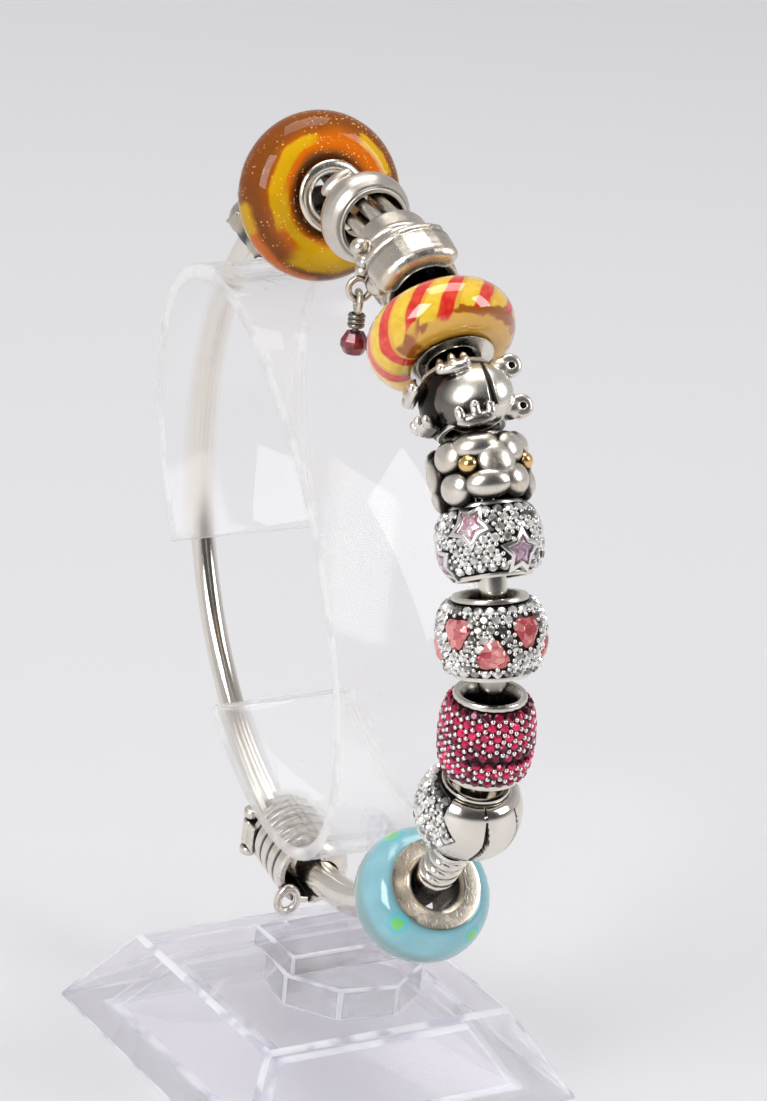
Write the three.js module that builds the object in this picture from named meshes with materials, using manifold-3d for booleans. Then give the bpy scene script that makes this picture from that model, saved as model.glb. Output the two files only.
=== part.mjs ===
// A charm bangle hanging on a clear display stand.
// Millimetres, +Z up, resting on the underside of the stand's base.
import * as THREE from 'three';
import { mergeVertices } from 'three/addons/utils/BufferGeometryUtils.js';
import Module from 'manifold-3d';

const wasm = await Module();
wasm.setup();

const DEG = Math.PI / 180;
const GAP = 0.3; // free space between neighbouring pieces

// ---------------------------------------------------------------- stand sizes
const BASE = { top: 28.2, foot: 39.8, height: 8.7, wall: 2.8 };
const DISC = { radius: 8.1, height: 3.6, y: -4.1, turn: 12.5 * DEG };
const BLOCK = { width: 14.2, depth: 8, height: 2.4, x: -0.7, y: -2.95 };
const CUFF = { long: 30.8, short: 15.2, wall: 1.4, width: 16.6, x: 0.4, y: 9.2, z: 51.3,
  lean: 55.3 * DEG, start: -79 * DEG, end: 246.5 * DEG };
const UPRIGHT = { thick: 2.2, depth: 7.4 };
const GLUE = 0.1; // thickness of the joints between the clear pieces

// --------------------------------------------------------------- bangle sizes
const LOOP = { radius: 35.6, x: 1.2, y: 7.1, z: 51.8, yaw: -5.7 * DEG, lean: 2.4 * DEG };
const TUBE = { radius: 1.35, sides: 10 };
const TAIL = { radius: 1.7, ball: 2.5, length: 2.2 }; // thick end that snaps into the clasp
const THREAD = { from: 122, pitch: 2.4, turns: 4, crest: 1.95, root: 1.55 };
const CLASP = { at: 189, length: 9.3, radius: 4, bore: 3.2, end: 1.2, groove: 0.25, spoon: 1.6 };
const HINGE = { out: 3.55, back: 4.2, knuckle: 0.85, ear: 0.9, pin: 0.35, hole: 0.6,
  knuckleWidth: 3, earWidth: 1, slot: 1.8, strap: 3.65 };
const BORE = 2.2; // radius of the hole through a charm

// Each charm's place is its angle round the loop: 0 at the top, growing over the front.
const AT = { petal: -32.5, amber: -13.2, dome: 2.5, figure: 18, striped: 35.3, frog: 47,
  flower: 57.3, star: 68.3, trillion: 82.3, ruby: 98.4, half: 113, turquoise: 139 };

// Degrees by which a loose charm leans away from the tube's line.
const TILT = { flower: -2, star: -4, trillion: -4.5, ruby: -6, half: -5 };

// Glass beads: outer radius, half length of the glass, radius of its hole, silver rim and bore,
// and how far the bead hangs outwards and to the side of the tube.
const GLASS = {
  amber: { radius: 8.6, half: 3.3, hole: 2.95, rim: 3.7, bore: 2.25, face: 3.75, out: 0.25, side: 0 },
  striped: { radius: 7.2, half: 2.95, hole: 2.95, rim: 4.1, bore: 2.2, face: 3.3, out: 0, side: 0 },
  turquoise: { radius: 6.8, half: 3.6, hole: 3.15, rim: 4.6, bore: 2.5, face: 3.9, out: 0.45, side: -0.3 },
};

// Stone-set beads: length, largest radius, radius of the end rings, height of an end ring, and
// how far the bead hangs to the left of the tube.
const PAVE = {
  star: { length: 7, belly: 4.95, ring: 3.6, lip: 0.5, side: 0 },
  trillion: { length: 7.6, belly: 5.35, ring: 3.6, lip: 0.5, side: 0.3 },
  ruby: { length: 8.6, belly: 4.5, ring: 3.5, lip: 0.6, side: 0 },
  half: { length: 7.4, belly: 5.1, ring: 3.3, lip: 0.4, side: 0 },
};

// ------------------------------------------------------------------ materials
const metal = (color, roughness) => new THREE.MeshStandardMaterial({ color, roughness, metalness: 1 });
const clear = (color, roughness, opacity) =>
  new THREE.MeshStandardMaterial({ color, roughness, metalness: 0, transparent: true, opacity });
const silver = () => metal(0xc9c5bd, 0.25);
const oxidised = () => metal(0x8f8a84, 0.4);
const acrylic = () => clear(0xe9e8f2, 0.08, 0.3);
const stone = (color) => clear(color, 0.1, 0.9);

// -------------------------------------------------------------- solid helpers
/** Turns a closed geometry into a solid that can be joined and cut. */
function toSolid(geometry) {
  const bare = geometry.clone();
  bare.deleteAttribute('normal');
  bare.deleteAttribute('uv');
  const merged = mergeVertices(bare, 1e-4);
  return new wasm.Manifold(new wasm.Mesh({
    numProp: 3,
    vertProperties: Float32Array.from(merged.attributes.position.array),
    triVerts: Uint32Array.from(merged.index.array),
  }));
}

/** Turns a solid back into a geometry. */
function toGeometry(solid) {
  const mesh = solid.getMesh();
  const geometry = new THREE.BufferGeometry();
  geometry.setAttribute('position', new THREE.BufferAttribute(mesh.vertProperties, 3));
  geometry.setIndex(new THREE.BufferAttribute(mesh.triVerts, 1));
  geometry.computeVertexNormals();
  return geometry;
}

const fuse = (geometries) => toGeometry(geometries.map(toSolid).reduce((a, b) => a.add(b)));
const cut = (geometry, tools) =>
  toGeometry(tools.map(toSolid).reduce((a, b) => a.subtract(b), toSolid(geometry)));
const common = (a, b) => toGeometry(toSolid(a).intersect(toSolid(b)));
const box = (x, y, z, at) => new THREE.BoxGeometry(x, y, z).translate(...at);

/** A turned shape about Z from [radius, height] pairs, counter-clockwise round its section. */
function turned(profile, sides = 18) {
  const points = profile.map(([radius, height]) => new THREE.Vector2(radius, height));
  return new THREE.LatheGeometry(points, sides).rotateX(Math.PI / 2);
}

/** A turned ring: its section closes on itself. */
const ring = (profile, sides) => turned([...profile, profile[0]], sides);

/** An ellipsoid with the given half axes, centred at a point. */
function pebble(halfAxes, at, wide = 8, high = 5) {
  return new THREE.SphereGeometry(1, wide, high).scale(...halfAxes).translate(...at);
}

/** A round bar along Z between two heights. */
const bar = (radius, from, to, at = [0, 0], sides = 10) =>
  new THREE.CylinderGeometry(radius, radius, to - from, sides)
    .rotateX(Math.PI / 2).translate(at[0], at[1], (from + to) / 2);

// ----------------------------------------------------------------- loop frame
const LOOP_NORMAL = new THREE.Vector3(Math.cos(LOOP.yaw) * Math.cos(LOOP.lean),
  Math.sin(LOOP.yaw) * Math.cos(LOOP.lean), Math.sin(LOOP.lean));
const LOOP_BACK = new THREE.Vector3(-Math.sin(LOOP.yaw), Math.cos(LOOP.yaw), 0);
const LOOP_UP = new THREE.Vector3().crossVectors(LOOP_NORMAL, LOOP_BACK);
const LOOP_CENTRE = new THREE.Vector3(LOOP.x, LOOP.y, LOOP.z);

/** The direction outwards from the loop's centre at an angle round it. */
const outwardAt = (degrees) => LOOP_BACK.clone().multiplyScalar(-Math.sin(degrees * DEG))
  .addScaledVector(LOOP_UP, Math.cos(degrees * DEG));

/**
 * Frame at an angle round the loop: X outwards, Y to the left side, Z along the tube.
 * A tilt turns it about Y, as if it were that many degrees farther round.
 */
function seat(degrees, out = 0, side = 0, tilt = 0) {
  const left = LOOP_NORMAL.clone().negate();
  const at = LOOP_CENTRE.clone().addScaledVector(outwardAt(degrees), LOOP.radius + out)
    .addScaledVector(left, side);
  const turned = degrees + tilt;
  return new THREE.Matrix4().makeBasis(outwardAt(turned), left, outwardAt(turned + 90)).setPosition(at);
}

/** Degrees of the loop that a length along it spans. */
const degreesOf = (length) => length / LOOP.radius / DEG;

/** A turned bar bent round the loop: rows of { angle, radius } in growing angle. */
function bentBar(rows, sides) {
  const start = rows[0].angle;
  const profile = rows.map(({ angle, radius }) => [radius, (angle - start) * DEG * LOOP.radius]);
  const first = [0, profile[0][1]];
  const last = [0, profile[profile.length - 1][1]];
  const geometry = turned([first, ...profile, last], sides);
  const position = geometry.attributes.position;
  const point = new THREE.Vector3();
  for (let i = 0; i < position.count; i += 1) {
    point.fromBufferAttribute(position, i);
    const frame = seat(start + degreesOf(point.z));
    point.set(point.x, point.y, 0).applyMatrix4(frame);
    position.setXYZ(i, point.x, point.y, point.z);
  }
  return geometry;
}

const model = new THREE.Group();

/** Adds one named piece, placed by a matrix. */
function add(name, geometry, material, matrix = new THREE.Matrix4()) {
  const mesh = new THREE.Mesh(geometry, material);
  mesh.name = name;
  mesh.applyMatrix4(matrix);
  model.add(mesh);
}

// ---------------------------------------------------------------------- stand
/** A square block whose sides slope from the foot up to the top. */
function slopedBlock(top, foot, height) {
  return new THREE.CylinderGeometry(top / Math.SQRT2, foot / Math.SQRT2, height, 4)
    .rotateY(Math.PI / 4).rotateX(Math.PI / 2).translate(0, 0, height / 2);
}

/** The base is moulded hollow, open underneath, with an even wall. */
function base() {
  const slope = (BASE.foot - BASE.top) / BASE.height;
  const inside = BASE.top - 2 * BASE.wall;
  const depth = BASE.height - BASE.wall;
  const cavity = slopedBlock(inside, inside + slope * (depth + 1), depth + 1).translate(0, 0, -1);
  return cut(slopedBlock(BASE.top, BASE.foot, BASE.height), [cavity]);
}

/** Points on an ellipse in the plane of the cuff's side, from its start to its end angle. */
function cuffArc(offset, steps, from, to) {
  const points = [];
  for (let i = 0; i <= steps; i += 1) {
    const angle = from + ((to - from) * i) / steps;
    const along = (CUFF.long + offset) * Math.cos(angle);
    const across = (CUFF.short + offset) * Math.sin(angle);
    points.push(new THREE.Vector2(
      CUFF.y + along * Math.cos(CUFF.lean) - across * Math.sin(CUFF.lean),
      CUFF.z + along * Math.sin(CUFF.lean) + across * Math.cos(CUFF.lean),
    ));
  }
  return points;
}

/** Extrudes an outline in the YZ plane along X, centred on the cuff. */
function alongX(points, width) {
  const shape = new THREE.Shape(points);
  const turn = new THREE.Matrix4().makeBasis(new THREE.Vector3(0, 1, 0),
    new THREE.Vector3(0, 0, 1), new THREE.Vector3(1, 0, 0));
  return new THREE.ExtrudeGeometry(shape, { depth: width, bevelEnabled: false, steps: 1 })
    .applyMatrix4(turn).translate(CUFF.x - width / 2, 0, 0);
}

/** The cuff is a C of bent sheet, open at the back. */
function cuff() {
  const outside = cuffArc(0, 56, CUFF.start, CUFF.end);
  const inside = cuffArc(-CUFF.wall, 56, CUFF.end, CUFF.start);
  return alongX([...outside, ...inside], CUFF.width);
}

/** The upright carries the cuff at the right-hand end of the block. */
function upright(blockTop) {
  const x = BLOCK.x + BLOCK.width / 2 - UPRIGHT.thick / 2;
  const height = CUFF.z - blockTop - GLUE;
  const post = box(UPRIGHT.thick, UPRIGHT.depth, height, [x, BLOCK.y, blockTop + GLUE + height / 2]);
  const cuffSpace = alongX(cuffArc(GLUE, 72, 0, 2 * Math.PI).slice(0, -1), CUFF.width * 2);
  const above = box(CUFF.width, CUFF.width * 3, CUFF.z, [x, BLOCK.y, CUFF.z * 1.18]);
  return cut(post, [cuffSpace, above]);
}

function buildStand() {
  const discTop = BASE.height + DISC.height;
  const blockTop = discTop + BLOCK.height;
  add('stand_base', base(), acrylic());
  const disc = new THREE.CylinderGeometry(DISC.radius, DISC.radius, DISC.height - GLUE, 8)
    .rotateX(Math.PI / 2).rotateZ(DISC.turn);
  disc.translate(0, DISC.y, BASE.height + (DISC.height + GLUE) / 2);
  add('stand_disc', disc, acrylic());
  add('stand_block', box(BLOCK.width, BLOCK.depth, BLOCK.height - GLUE,
    [BLOCK.x, BLOCK.y, discTop + (BLOCK.height + GLUE) / 2]), acrylic());
  add('stand_upright', upright(blockTop), acrylic());
  add('stand_cuff', cuff(), acrylic());
}

// ------------------------------------------------------------ bangle and clasp
/** Rows of the tube from the clasp's end wall round the back and top to the thick tail. */
function tubeRows() {
  const rows = [];
  const threadEnd = THREAD.from + THREAD.pitch * THREAD.turns;
  const start = CLASP.at + degreesOf(CLASP.length / 2 - CLASP.end / 2) - 360;
  const plainSteps = 46;
  for (let i = 0; i <= plainSteps; i += 1) {
    rows.push({ angle: start + ((THREAD.from - start) * i) / plainSteps, radius: TUBE.radius });
  }
  for (let turn = 0; turn < THREAD.turns; turn += 1) {
    const at = THREAD.from + turn * THREAD.pitch;
    rows.push({ angle: at + 0.1, radius: THREAD.root });
    rows.push({ angle: at + THREAD.pitch * 0.35, radius: THREAD.crest });
    rows.push({ angle: at + THREAD.pitch * 0.7, radius: THREAD.crest });
  }
  const ballCentre = CLASP.at - degreesOf(CLASP.length / 2 - TAIL.ball - 0.6);
  const ballHalf = degreesOf(TAIL.length);
  const neck = ballCentre - ballHalf;
  const tailSteps = 8;
  for (let i = 0; i <= tailSteps; i += 1) {
    const angle = threadEnd + ((neck - threadEnd) * i) / tailSteps;
    rows.push({ angle, radius: TAIL.radius });
  }
  const ballSteps = 5;
  for (let i = 1; i < ballSteps; i += 1) {
    const turn = (i / ballSteps) * 160 * DEG + 20 * DEG;
    rows.push({ angle: ballCentre - ballHalf * Math.cos(turn), radius: TAIL.ball * Math.sin(turn) });
  }
  return rows;
}

/** The clasp's grooved barrel, open at the mouth and closed by the end wall at the tube. */
function barrel() {
  const half = CLASP.length / 2;
  const outside = [];
  const grooves = 4;
  const pitch = CLASP.length / (grooves + 1.5);
  for (let i = 0; i < grooves; i += 1) {
    const at = -half + pitch * (i + 0.8);
    outside.push([CLASP.radius, at], [CLASP.radius - CLASP.groove, at + 0.15],
      [CLASP.radius - CLASP.groove, at + 0.45], [CLASP.radius, at + 0.6]);
  }
  return turned([[0, half - CLASP.end], [CLASP.bore, half - CLASP.end],
    [CLASP.bore, -half], [CLASP.radius, -half], ...outside,
    [CLASP.radius, half - 0.5], [CLASP.radius - 0.6, half], [0, half]], 20);
}

/** A round bar along the hinge, which runs outwards from the loop's centre. */
function hingeBar(radius, from, to) {
  return new THREE.CylinderGeometry(radius, radius, to - from, 12)
    .rotateZ(Math.PI / 2).translate((from + to) / 2, HINGE.out, HINGE.back);
}

/** The right-hand half of the barrel with its end wall, rounded mouth and two hinge ears. */
function claspBody() {
  const half = CLASP.length / 2;
  const wide = CLASP.radius * 4;
  const lidSpace = box(wide, wide, CLASP.length, [0, wide / 2, -CLASP.end - 0.05]);
  const knuckleSpace = box(HINGE.slot * 2, 4, 4, [0, HINGE.out + 0.7, half]);
  const shell = cut(barrel(), [lidSpace, knuckleSpace]);
  const spoonShape = pebble([CLASP.radius, CLASP.radius, CLASP.spoon + 0.6], [0, 0, -half + 0.4], 20, 10);
  const hollow = pebble([CLASP.bore, CLASP.bore, CLASP.spoon], [0, 0, -half + 0.4], 20, 10);
  const hollowBar = bar(CLASP.bore, -half, 0, [0, 0], 24);
  const neckSpace = bar(TAIL.radius + 0.6, -half - 4, -half + 2, [0, 0], 16);
  const behind = box(wide, wide, wide, [0, 0, -half + 0.4 + wide / 2]);
  const spoon = cut(spoonShape, [hollow, hollowBar, neckSpace, lidSpace, behind,
    box(wide, wide, wide, [0, wide / 2, 0])]);
  const earFrom = HINGE.slot;
  const earTo = HINGE.slot + HINGE.earWidth;
  const ears = [[-earTo, -earFrom], [earFrom, earTo]].flatMap(([from, to]) => [
    hingeBar(HINGE.ear, from, to),
    box(to - from, 2.2, 0.9, [(from + to) / 2, HINGE.out - 1.3, half - 0.5]),
  ]);
  const hole = hingeBar(HINGE.hole, -wide, wide);
  return cut(fuse([shell, spoon, ...ears]), [hole]);
}

/** The left-hand half of the barrel, with its hinge knuckle and the thumb loop at the mouth. */
function claspLid() {
  const half = CLASP.length / 2;
  const wide = CLASP.radius * 4;
  const length = CLASP.length - CLASP.end - 0.5;
  const lidSpace = box(wide, wide, length, [0, wide / 2 + GAP / 2, -half + length / 2]);
  const shell = common(barrel(), lidSpace);
  const knuckle = hingeBar(HINGE.knuckle, -HINGE.knuckleWidth / 2, HINGE.knuckleWidth / 2);
  const strap = box(HINGE.knuckleWidth, 0.9, 2.2, [0, HINGE.strap, HINGE.back - 0.9]);
  const tab = new THREE.TorusGeometry(1.15, 0.45, 6, 12).scale(1.25, 0.95, 1)
    .translate(2.95, 2.75, -half - 0.3);
  return cut(fuse([shell, knuckle, strap, tab]), [hingeBar(HINGE.hole, -wide, wide)]);
}

function buildBangle() {
  const at = seat(CLASP.at);
  const fixed = claspBody().applyMatrix4(at);
  const tube = bentBar(tubeRows(), TUBE.sides);
  add('bangle_band', fuse([tube, fixed]), silver());
  add('clasp_lid', claspLid(), silver(), at);
  const pinReach = HINGE.slot + HINGE.earWidth;
  add('clasp_pin', hingeBar(HINGE.pin, -pinReach, pinReach), silver(), at);
}

// ---------------------------------------------------------------- glass beads
/** Half thickness of a glass bead at a radius: its section is an ellipse about the ring. */
function glassHeight(bead, radius) {
  const middle = (bead.radius + 1.6) / 2;
  return bead.half * Math.sqrt(Math.max(0, 1 - ((radius - middle) / (bead.radius - middle)) ** 2));
}

function glassBody(bead) {
  const profile = [];
  const steps = 8;
  const middle = (bead.radius + 1.6) / 2;
  const reach = Math.acos((bead.hole - middle) / (bead.radius - middle));
  for (let i = 0; i <= steps; i += 1) {
    const angle = -reach + (2 * reach * i) / steps;
    profile.push([middle + (bead.radius - middle) * Math.cos(angle), bead.half * Math.sin(angle)]);
  }
  return ring(profile, 20);
}

/** The silver lining of a glass bead, with a flared rim at each end. */
function glassCore(bead) {
  const under = glassHeight(bead, bead.rim) + GAP;
  const barrelRadius = bead.hole - GAP;
  const { rim, bore, face } = bead;
  return ring([[bore, -face], [rim - 0.4, -face], [rim, -under - 0.05], [rim - 0.3, -under],
    [barrelRadius, -glassHeight(bead, bead.hole)], [barrelRadius, glassHeight(bead, bead.hole)],
    [rim - 0.3, under], [rim, under + 0.05], [rim - 0.4, face], [bore, face]], 20);
}

function buildGlassBeads() {
  const colours = { amber: 0xb5651d, striped: 0xd9a441, turquoise: 0x7fc4cf };
  for (const [name, bead] of Object.entries(GLASS)) {
    const place = seat(AT[name], bead.out, bead.side);
    add(`${name}_glass`, glassBody(bead), stone(colours[name]), place);
    add(`${name}_core`, glassCore(bead), silver(), place);
  }
}

// -------------------------------------------------------------- silver charms
/** Section of a barrel bead: end rings, then a belly that swells between them. */
function barrelProfile({ length, belly, ring: rim, lip }) {
  const half = length / 2;
  const inner = half - lip;
  const profile = [[BORE, -half], [rim, -half], [rim, -inner]];
  const steps = 6;
  for (let i = 1; i < steps; i += 1) {
    const height = -inner + (2 * inner * i) / steps;
    const swell = Math.sqrt(1 - (height / inner) ** 2);
    profile.push([rim + 0.1 + (belly - rim - 0.1) * swell, height]);
  }
  profile.push([rim, inner], [rim, half], [BORE, half]);
  return profile;
}

function buildPaveBeads() {
  for (const [name, bead] of Object.entries(PAVE)) {
    add(`${name}_bead`, ring(barrelProfile(bead), 18), oxidised(), 
      seat(AT[name], 0, bead.side, TILT[name]));
  }
}

/** The spacer is a dome with a hollow mouth towards the figure charm and an oval thumb tab. */
function buildDome() {
  const dome = ring([[BORE, -2.1], [2.7, -2.1], [3.5, -1.6], [4.1, -0.6], [4.5, 0.6], [4.65, 1.6],
    [4.45, 2.5], [3.95, 3], [3.35, 3], [3.35, 1.2], [BORE, 0.4]], 20);
  const tab = pebble([0.8, 1.9, 0.9], [0, 0, 0], 10, 6)
    .rotateZ(38 * DEG).translate(3.1, 2.4, -1.1);
  const hole = bar(BORE, -6, 6, [0, 0], 20);
  add('dome_spacer', cut(fuse([dome, tab]), [hole]), silver(), seat(AT.dome, 0, -0.15));
}

const FIGURE = { half: 5.3, pillarRing: 2.35, pillar: 0.7, pillarAngles: [75, 30, -15, -60] };
const DROP = { eyeSide: 4.7, eyeOut: -0.6, eyeAngle: 20.5, eyeFall: 1.25, eyeRadius: 1.05,
  wire: 0.32, loop: 1, shaft: 2.7, coil: 0.85, stone: 1.35, stoneHalf: 1.1 };

/** The figure charm: four round pillars behind a rolled collar and a folded barrel. */
function figureBody() {
  const body = ring([[2.3, -FIGURE.half], [3.7, -FIGURE.half], [4.2, -4.4], [4.55, -3.2], [4.3, -2.6],
    [4.75, -1.6], [4.85, 0.4], [4.6, 2.6], [4.1, 4.2], [3.4, FIGURE.half], [2.3, FIGURE.half]], 20);
  const place = seat(AT.figure);
  const pillars = FIGURE.pillarAngles.flatMap((angle) => {
    const x = FIGURE.pillarRing * Math.cos(angle * DEG);
    const y = FIGURE.pillarRing * Math.sin(angle * DEG);
    return [bar(FIGURE.pillar, -1.7, 3.4, [x, y], 8).applyMatrix4(seat(7.6)),
      pebble([FIGURE.pillar, FIGURE.pillar, FIGURE.pillar], [x, y, -1.7], 8, 4).applyMatrix4(seat(7.6))];
  });
  return [body.applyMatrix4(place), ...pillars];
}

/** The drop hangs straight down from an eye soldered to the charm's left side. */
function buildFigure() {
  const eyeAt = new THREE.Vector3().setFromMatrixPosition(seat(DROP.eyeAngle, DROP.eyeOut, DROP.eyeSide));
  const eye = new THREE.TorusGeometry(DROP.eyeRadius, DROP.wire, 6, 12)
    .rotateX(Math.PI / 2).rotateZ(-20 * DEG).translate(eyeAt.x, eyeAt.y, eyeAt.z - DROP.eyeFall);
  const lug = pebble([0.7, 1, 0.9], [0, 4.2, 1.4], 10, 7).applyMatrix4(seat(AT.figure));
  add('figure_charm', fuse([...figureBody(), lug, eye]), silver());
  const centre = [eyeAt.x, eyeAt.y, eyeAt.z - DROP.eyeFall];
  const loopZ = centre[2] - DROP.eyeRadius - DROP.loop + 2 * DROP.wire + GAP / 2;
  const loop = new THREE.TorusGeometry(DROP.loop, DROP.wire, 6, 12)
    .rotateX(Math.PI / 2).rotateZ(70 * DEG).translate(centre[0], centre[1], loopZ);
  const top = loopZ - DROP.loop;
  const shaft = bar(DROP.wire, top - DROP.shaft, top + 0.2, [centre[0], centre[1]], 8);
  const coils = [0, 1].map((turn) => pebble([DROP.coil, DROP.coil, 0.4],
    [centre[0], centre[1], top - 0.5 - turn * 0.7]));
  add('drop_wire', fuse([loop, shaft, ...coils]), silver());
  const stoneAt = top - 0.5 - 0.7 - 0.4 - GAP - DROP.stoneHalf;
  const bead = ring([[DROP.wire + GAP, -DROP.stoneHalf], [0.9, -DROP.stoneHalf], [DROP.stone, -0.3],
    [DROP.stone, 0.3], [0.9, DROP.stoneHalf], [DROP.wire + GAP, DROP.stoneHalf]], 10);
  add('drop_stone', bead.translate(centre[0], centre[1], stoneAt), stone(0x6b1118));
}

/** The frog clings to its bead: back, four feet and two round eyes at its right side. */
function buildFrog() {
  const body = ring(barrelProfile({ length: 6.2, belly: 4.3, ring: 3.3, lip: 0.5 }), 20);
  const back = pebble([3.2, 3.6, 3.2], [1.9, 0.6, -0.2], 12, 8);
  const feet = [[3.6, 0.6, -2.1], [3.4, 1.4, 2.1], [1.2, 3.9, -1.9], [0.9, 4.0, 2.0]]
    .map((at) => pebble([1.1, 1.1, 0.8], at));
  const eyes = [-1.7, 1.7].map((height) =>
    bar(1.1, 3.4, 5.9, [0, 0], 12).rotateX(Math.PI / 2).translate(1.5, 0, height));
  const hole = bar(BORE, -6, 6, [0, 0], 20);
  add('frog_charm', cut(fuse([body, back, ...feet, ...eyes]), [hole]), oxidised(), seat(AT.frog));
}

/** Puffed petals round five gold centres. */
function buildFlower() {
  const core = ring(barrelProfile({ length: 5.2, belly: 3.9, ring: 3.2, lip: 0.4 }), 20);
  const blossoms = 5;
  const lobes = [];
  for (let i = 0; i < blossoms; i += 1) {
    const turn = (i / blossoms) * 2 * Math.PI + 25 * DEG;
    const between = turn + Math.PI / blossoms;
    const place = (radius, angle, height) =>
      [radius * Math.cos(angle), radius * Math.sin(angle), height];
    lobes.push(pebble([0.85, 0.85, 0.85], place(4.1, turn, 0), 6, 4));
    lobes.push(pebble([1.35, 1.35, 1.2], place(3.35, between, 1.35), 8, 5));
    lobes.push(pebble([1.35, 1.35, 1.2], place(3.35, between, -1.35), 8, 5));
  }
  const hole = bar(BORE, -6, 6, [0, 0], 20);
  add('flower_bead', cut(fuse([core, ...lobes]), [hole]), silver(), seat(AT.flower, 0, 0, TILT.flower));
}

/** Rounded petals round a plain tube, mostly behind the amber bead. */
function buildPetals() {
  const core = ring(barrelProfile({ length: 7, belly: 3.7, ring: 3.1, lip: 0.5 }), 20);
  const count = 6;
  const petals = [];
  for (let i = 0; i < count; i += 1) {
    const turn = (i / count) * 2 * Math.PI + 90 * DEG;
    petals.push(pebble([1.2, 1.6, 2.6], [0, 0, 0], 8, 6).rotateZ(turn)
      .translate(3.2 * Math.cos(turn), 3.2 * Math.sin(turn), 0));
  }
  const hole = bar(BORE, -6, 6, [0, 0], 20);
  add('petal_charm', cut(fuse([core, ...petals]), [hole]), silver(), seat(AT.petal));
}

buildStand();
buildBangle();
buildGlassBeads();
buildPetals();
buildDome();
buildFigure();
buildFrog();
buildFlower();
buildPaveBeads();

// The origin is the middle of the whole object's outline, on the surface it stands on.
const extent = new THREE.Box3().setFromObject(model);
const middle = extent.getCenter(new THREE.Vector3());
model.position.set(-middle.x, -middle.y, 0);

export default model;
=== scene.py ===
"""Charm bangle on a clear display stand: the finished look of every piece."""
from __future__ import annotations

import logging
import math
import random
from dataclasses import dataclass, field
from enum import Enum
from math import acos, atan2, cos, hypot, pi, radians, sin, sqrt
from typing import Callable, Iterable, Sequence

import bpy
from mathutils import Euler, Matrix, Vector

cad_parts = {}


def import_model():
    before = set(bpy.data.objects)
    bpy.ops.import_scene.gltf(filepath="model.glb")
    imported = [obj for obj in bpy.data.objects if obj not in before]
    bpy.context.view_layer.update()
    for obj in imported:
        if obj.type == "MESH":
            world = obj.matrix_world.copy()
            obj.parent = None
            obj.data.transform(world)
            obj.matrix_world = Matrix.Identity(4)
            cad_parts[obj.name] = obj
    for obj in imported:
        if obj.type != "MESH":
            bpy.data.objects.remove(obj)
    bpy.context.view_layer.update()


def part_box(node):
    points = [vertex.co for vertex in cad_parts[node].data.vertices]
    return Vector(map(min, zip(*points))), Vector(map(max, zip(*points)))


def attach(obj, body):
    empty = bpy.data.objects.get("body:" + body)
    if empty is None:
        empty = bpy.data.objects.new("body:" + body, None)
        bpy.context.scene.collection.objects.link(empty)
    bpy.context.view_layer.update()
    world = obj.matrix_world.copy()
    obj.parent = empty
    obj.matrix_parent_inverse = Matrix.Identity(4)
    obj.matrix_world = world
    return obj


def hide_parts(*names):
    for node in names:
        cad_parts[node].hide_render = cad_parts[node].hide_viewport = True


LOG = logging.getLogger("bangle")
MM = 0.001  # pieces are modelled in millimetres and placed in metres
ROOT = "bangle_and_stand"
LID = "clasp_cover"

Profile = Sequence[tuple[float, float]]
Colour = tuple[float, float, float, float]
Piece = bpy.types.Object
Signal = bpy.types.NodeSocket


class Slot(Enum):
    """The record's material slots."""

    ACRYLIC = "clear_acrylic"
    POLISHED = "polished_silver"
    OXIDISED = "oxidised_silver"
    AMBER = "amber_glass"
    HONEY = "honey_glass"
    BLUE = "blue_glass"
    RED_STONE = "red_stone"


class Socket(Enum):
    """Kinds of socket on a node group."""

    VALUE = "NodeSocketFloat"
    VECTOR = "NodeSocketVector"
    COLOUR = "NodeSocketColor"


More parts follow.
